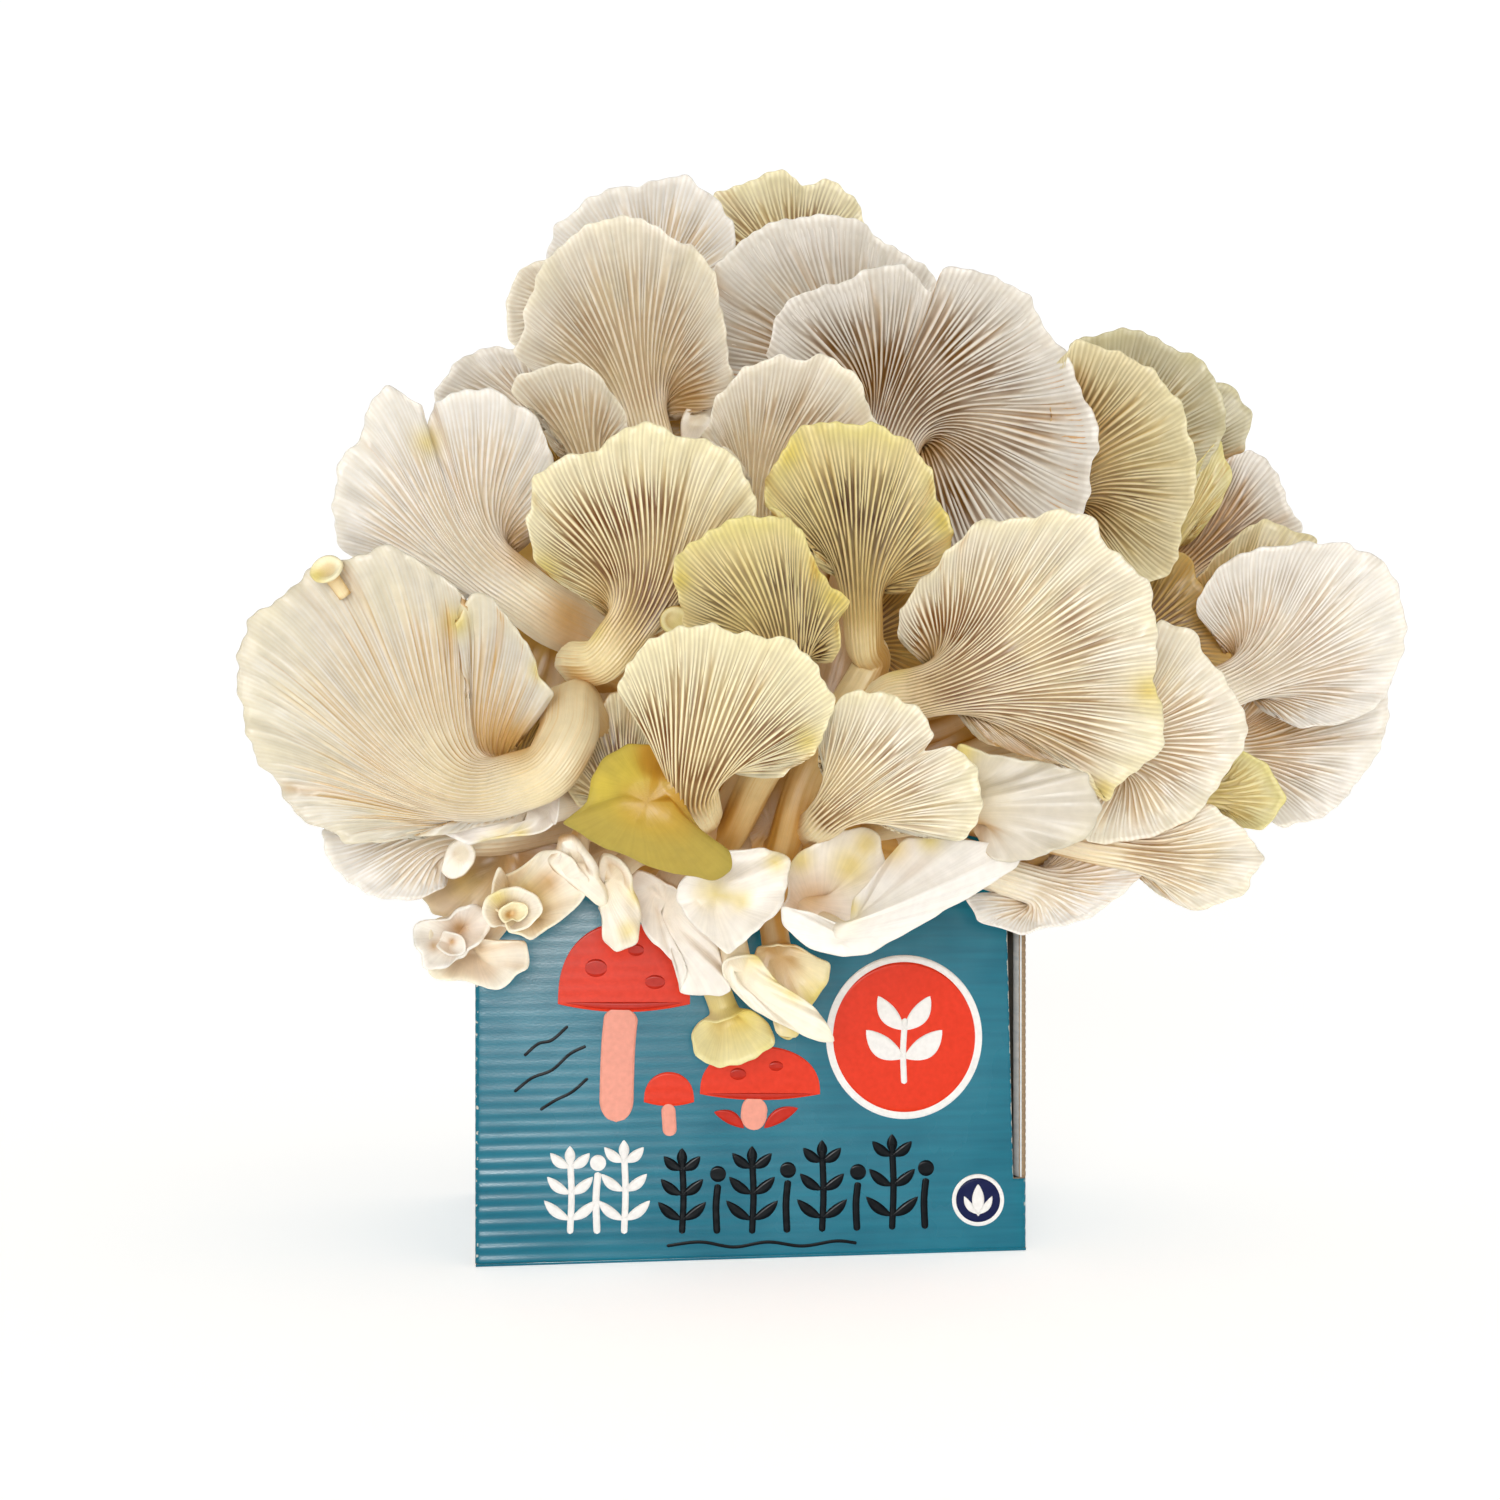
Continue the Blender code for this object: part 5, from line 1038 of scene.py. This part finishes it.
def fluteEdge():
    # what the open seam shows of the right wall: its inner liner bent forward, which rises from the
    # dark on a quarter cosine, and the cut edge, a fluted sheet between liners as a sine up the height
    x0, x1 = carton["width"] / 2 - carton["board"] - carton["lip"], carton["width"] / 2
    seam = carton["seam"]
    z = np.linspace(seam["bottom"] + 0.1, seam["top"] - 0.1, 400)[:, None]
    s = np.linspace(0, 1, 20)[None, :]
    cut = (s - 0.55) / 0.45  # 0 to 1 across the cut edge
    wave = 0.5 + 0.3 * np.sin(2 * math.pi * z / (carton["flute"] * 0.6))
    paper = np.maximum(np.exp(-(((cut - wave) / 0.14) ** 4)), ease(np.abs(cut - 0.5), 0.36, 0.44))
    liner = np.cos(math.pi / 2 * np.clip(1 - s / 0.5, 0, 1))
    y = -carton["depth"] / 2 + carton["fold"] - 0.15 + np.where(cut > 0, 1.3 * (1 - paper), 5.0 * (1 - liner))
    y[:, -1] += 0.6
    points = np.stack([x0 + 0.05 + (x1 - x0 - 0.1) * s + 0 * z, y, z + 0 * s], -1)
    faces = gridFaces(z.shape[0], s.shape[1]).reshape(-1, 4)
    pale = (np.arange(len(faces)) % (s.shape[1] - 1)) < 0.55 * (s.shape[1] - 1)
    piece = addMesh("carton_flute_edge", points.reshape(-1, 3), faces, [rawEdge, paleEdge], slots=pale)
    thicken(piece, "paper", 0.3)
    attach(piece, "root")
    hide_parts("carton")


buildCarton()
fluteEdge()
print("carton folded")


# The print on the front panel: plain motifs, each the film between two curves given in pixels.
# red: caps. pink: stalks. white, black: sprigs. navy: the small round mark.
inks = dict(red="#e03a20", scarlet="#bf2b1a", pink="#eb9f8c", white="#efedea", black="#0a1014", navy="#161d48")


def leafPrint(start, end, width, bend=0.0):  # halfWidth = width/2 sin(pi s)^0.8 beside a bent midrib
    start, end = np.array(start, float), np.array(end, float)
    s = np.linspace(0, 1, 19)[:, None]
    sideways = np.array([-(end - start)[1], (end - start)[0]]) / np.hypot(*(end - start))
    rib = start + (end - start) * s + sideways * bend * 4 * s * (1 - s)
    half = width / 2 * np.sin(math.pi * s) ** 0.8
    return rib - sideways * half, rib + sideways * half


def strokePrint(points, width):  # a smooth line of one width with rounded ends
    path = smoothPath(np.array(points, float), 12 * len(points) + 20)
    s = np.linspace(0, 1, len(path))[:, None]
    length = np.hypot(*np.diff(path, axis=0).T).sum()
    ends = np.minimum(np.minimum(s, 1 - s) * length / (width / 2), 1.0)
    along = unit(np.gradient(path, axis=0))
    sideways = np.column_stack([-along[:, 1], along[:, 0]])
    half = width / 2 * np.sqrt(1 - (1 - ends) ** 2)
    return path - sideways * half, path + sideways * half


def discPrint(centre, halfX, halfY):
    turn = np.linspace(math.pi, 0, 65)
    x = centre[0] + halfX * np.cos(turn)
    rise = halfY * np.sin(turn)
    return np.column_stack([x, centre[1] - rise]), np.column_stack([x, centre[1] + rise])


def capPrint(left, right, base, rise, sag):  # a domed cap over a bowed lower edge
    turn = np.linspace(math.pi, 0, 65)
    x = (left + right) / 2 + (right - left) / 2 * np.cos(turn)
    return (np.column_stack([x, base - rise * np.sin(turn) ** 0.8]),
            np.column_stack([x, base + sag * np.sin(turn) ** 2]))


def sprigPrint(x, low, high, pairs, leaf):
    shapes = [strokePrint([(x, low), (x + 1.5, (low + high) / 2), (x, high)], 6.5)]
    for step in range(pairs):
        y = low - 14 - (low - high - 26) * step / max(pairs - 1, 1)
        size = leaf * (1 - 0.12 * step)
        shapes += [leafPrint((x, y), (x + side * size, y - 0.75 * size), 10.5, 2 * side) for side in (-1, 1)]
    return shapes + [leafPrint((x, high + 10), (x, high - 10), 10.5)]


def budPrint(x, low, middle, high, top):  # a bent stalk with a round bud just above it
    return [strokePrint([(x, low), (x - 1, middle), (x + 1, high)], 7), discPrint((x + 1, top), 8, 8)]


prints = {
    "red": dict(lift=0.10, shapes=[
        capPrint(558, 690, 1004, 82, 8), capPrint(700, 820, 1094, 48, 6), capPrint(644, 694, 1102, 30, 4)]),
    "badge": dict(ink="white", lift=0.10, shapes=[discPrint((904, 1037), 78, 82), discPrint((978, 1200), 26, 26)]),
    "badge_face": dict(ink="red", lift=0.18, shapes=[discPrint((904, 1037), 71, 75)]),
    "scarlet": dict(lift=0.18, shapes=[
        capPrint(566, 682, 1003, 1, 7), capPrint(707, 813, 1094, 1, 5),
        leafPrint((764, 1128), (798, 1108), 14, -3), leafPrint((744, 1128), (714, 1112), 13, 3),
        discPrint((596, 968), 11, 9), discPrint((636, 950), 8, 6), discPrint((655, 982), 10, 7),
        discPrint((738, 1074), 8, 6), discPrint((776, 1066), 7, 5)]),
    "pink": dict(lift=0.14, shapes=[
        strokePrint([(622, 1008), (618, 1050), (616, 1122)], 34),
        strokePrint([(758, 1098), (754, 1112), (754, 1130)], 26),
        strokePrint([(668, 1104), (669, 1120), (670, 1136)], 14)]),
    "white": dict(lift=0.10, shapes=[
        *sprigPrint(570, 1234, 1156, 3, 26), *sprigPrint(624, 1234, 1150, 3, 26),
        *budPrint(597, 1234, 1200, 1172, 1163)]),
    "badge_sprig": dict(ink="white", lift=0.26, shapes=[
        strokePrint([(904, 1084), (903, 1050), (905, 1018)], 6), leafPrint((904, 1058), (866, 1030), 22, -4),
        leafPrint((904, 1058), (942, 1030), 22, 4), leafPrint((904, 1030), (878, 996), 18, -3),
        leafPrint((904, 1030), (930, 996), 18, 3)]),
    "black": dict(lift=0.10, shapes=[
        *sprigPrint(682, 1234, 1158, 3, 24), *sprigPrint(752, 1234, 1156, 3, 26), *sprigPrint(822, 1232, 1150, 3, 25),
        *sprigPrint(892, 1230, 1144, 3, 26), *budPrint(717, 1234, 1206, 1184, 1174),
        *budPrint(787, 1233, 1204, 1180, 1170), *budPrint(857, 1231, 1204, 1182, 1172),
        *budPrint(925, 1229, 1200, 1178, 1168),
        strokePrint([(666, 1246), (700, 1242), (734, 1247), (768, 1242), (802, 1246), (836, 1241),
                     (857, 1243)], 3.2)]),
    "lines": dict(ink="black", lift=0.10, shapes=[
        strokePrint([(524, 1056), (538, 1044), (552, 1040), (568, 1026)], 3),
        strokePrint([(514, 1092), (532, 1078), (552, 1070), (570, 1054), (586, 1046)], 3),
        strokePrint([(540, 1110), (556, 1100), (572, 1092), (588, 1078)], 3)]),
    "navy": dict(lift=0.18, shapes=[discPrint((978, 1200), 22, 22)]),
    "mark_leaf": dict(ink="white", lift=0.26, shapes=[
        leafPrint((978, 1216), (978, 1184), 12), leafPrint((978, 1214), (964, 1196), 7, -2),
        leafPrint((978, 1214), (992, 1196), 7, 2)]),
}


def inkFilm(name):
    # offset ink under the same coating as the board, flat and satin, with a little mottle
    made, tree, shader = newMaterial("offset_print_ink_" + name, ior=1.4)
    place = put(tree, "ShaderNodeTexCoord").outputs["Object"]
    mottle = put(tree, "ShaderNodeTexNoise", {"Vector": place, "Scale": 500.0, "Detail": 3.0}).outputs["Fac"]  # 2 mm
    shade = put(tree, "ShaderNodeMapRange", {0: mottle, 1: 0.3, 2: 0.7, 3: 0.9, 4: 1.0}).outputs[0]
    shade = put(tree, "ShaderNodeCombineColor", {0: shade, 1: shade, 2: shade}).outputs[0]
    colour = put(tree, "ShaderNodeMix", {0: 1.0, 6: linear(inks[name]), 7: shade},
                 data_type="RGBA", blend_type="MULTIPLY")
    rough = put(tree, "ShaderNodeMapRange", {0: mottle, 1: 0.3, 2: 0.7, 3: 0.3, 4: 0.4}).outputs[0]
    feed(tree, shader, {"Base Color": colour.outputs[2], "Roughness": rough, "Specular IOR Level": 0.06})
    return made


inkFilms = {name: inkFilm(name) for name in inks}


def printFilm(name, look):
    # each film is a grid between its two curves, laid on the ribs and lifted a little
    grids = []
    for one, other in look["shapes"]:
        across = int(np.clip(np.hypot(*(one - other).T).max() / 2.8, 3, 40)) + 1
        t = np.linspace(0, 1, across)[None, :, None]
        pixels = one[:, None] * (1 - t) + other[:, None] * t
        place = sight(pixels[..., 0], pixels[..., 1], 0.0)
        folds = np.exp(-((carton["width"] / 2 - np.abs(place[..., 0])) ** 2) / 9)
        place[..., 1] = -carton["depth"] / 2 + ribs(place[..., 0], place[..., 2], folds) - look["lift"]
        grids.append((place.reshape(-1, 3), gridFaces(*place.shape[:2]).reshape(-1, 4)))
    points, faces = joined(grids)
    a, b, d = [points[faces[:, i]] for i in (0, 1, 3)]
    facing = np.cross(b - a, d - a)[:, 1] > 0  # turned away from the front
    faces[facing] = faces[facing][:, ::-1]
    piece = addMesh("print_" + name, points, faces, [inkFilms[look.get("ink", name)]])
    thicken(piece, "film", 0.06)
    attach(piece, "root")


for name, look in prints.items():
    printFilm(name, look)
print("panel printed:", len(prints), "films")


def stage():
    floorMaterial, tree, shader = newMaterial("painted_floor_white", roughness=0.9)
    grain = put(tree, "ShaderNodeTexNoise", {"Scale": 3.0}).outputs["Fac"]
    colour = put(tree, "ShaderNodeMix", {0: grain, 6: linear("#f4f4f4"), 7: linear("#f8f8f8")}, data_type="RGBA")
    feed(tree, shader, {"Base Color": colour.outputs[2], "Emission Color": (1.0, 1.0, 1.0, 1.0),
                        "Emission Strength": studio["floorGlow"]})
    corners = studio["floor"] * np.array([(-1, -1, 0), (1, -1, 0), (1, 1, 0), (-1, 1, 0)], float)
    addMesh("floor", corners, [(0, 1, 2, 3)], [floorMaterial])

    world = bpy.data.worlds.new("studio")
    bpy.context.scene.world = world
    world.use_nodes = True
    tree = world.node_tree
    seen = put(tree, "ShaderNodeLightPath").outputs["Is Camera Ray"]
    colour = put(tree, "ShaderNodeMix", {0: seen, 6: linear(studio["tint"]), 7: linear("#ffffff")}, data_type="RGBA")
    strength = put(tree, "ShaderNodeMapRange", {0: seen, 3: studio["around"], 4: studio["backdrop"]}).outputs[0]
    feed(tree, tree.nodes["Background"], {"Color": colour.outputs[2], "Strength": strength})
    bpy.context.scene.view_settings.view_transform = "Standard"


def hold(data, turns):  # an object that holds a light or a camera
    holder = bpy.data.objects.new(data.name, data)
    bpy.context.scene.collection.objects.link(holder)
    holder.rotation_euler = turns
    return holder


def lights():
    for name, lamp in studio["suns"].items():
        light = bpy.data.lights.new(name, "SUN")
        light.energy, light.angle = lamp["power"], math.radians(lamp["soft"])
        hold(light, (math.radians(90 - lamp["high"]), 0.0, math.radians(lamp["turn"])))
    rake = studio["rake"]
    light = bpy.data.lights.new("rake", "AREA")
    light.shape, light.energy = "RECTANGLE", rake["power"]
    light.size, light.size_y = rake["wide"] * mm, rake["tall"] * mm
    holder = hold(light, (math.pi / 2, 0.0, 0.0))
    holder.location = np.array(rake["place"], float) * mm
    holder.visible_diffuse = False  # for the sheen alone


def photoCamera():
    lens = bpy.data.cameras.new("camera")
    lens.sensor_width = eye["sensor"]
    lens.lens = eye["sensor"] * eye["focal"] / (2 * eye["middle"])
    lens.clip_start, lens.clip_end = 0.05, 50.0
    camera = hold(lens, (math.pi / 2, 0.0, -eye["turn"]))
    camera.location = eyePoint * mm
    bpy.context.scene.camera = camera


# floor: half its width. around, tint: the light from all sides. backdrop, floorGlow: how bright
# what is seen behind and below is, so that it stays white. suns: big soft lamps far away, with
# soft, high and turn (to the right of the front) in degrees. rake: a lamp behind the camera,
# whose sheen the ribs catch
studio = dict(
    floor=9000.0, around=0.55, tint="#fffcf6", backdrop=1.05, floorGlow=0.45,
    suns=dict(key=dict(power=1.07, soft=24, high=10, turn=-16), fill=dict(power=0.25, soft=60, high=25, turn=50)),
    rake=dict(place=(-150, -1560, 330), wide=240, tall=180, power=90.0),
)
stage()
lights()
photoCamera()
print("stage set")
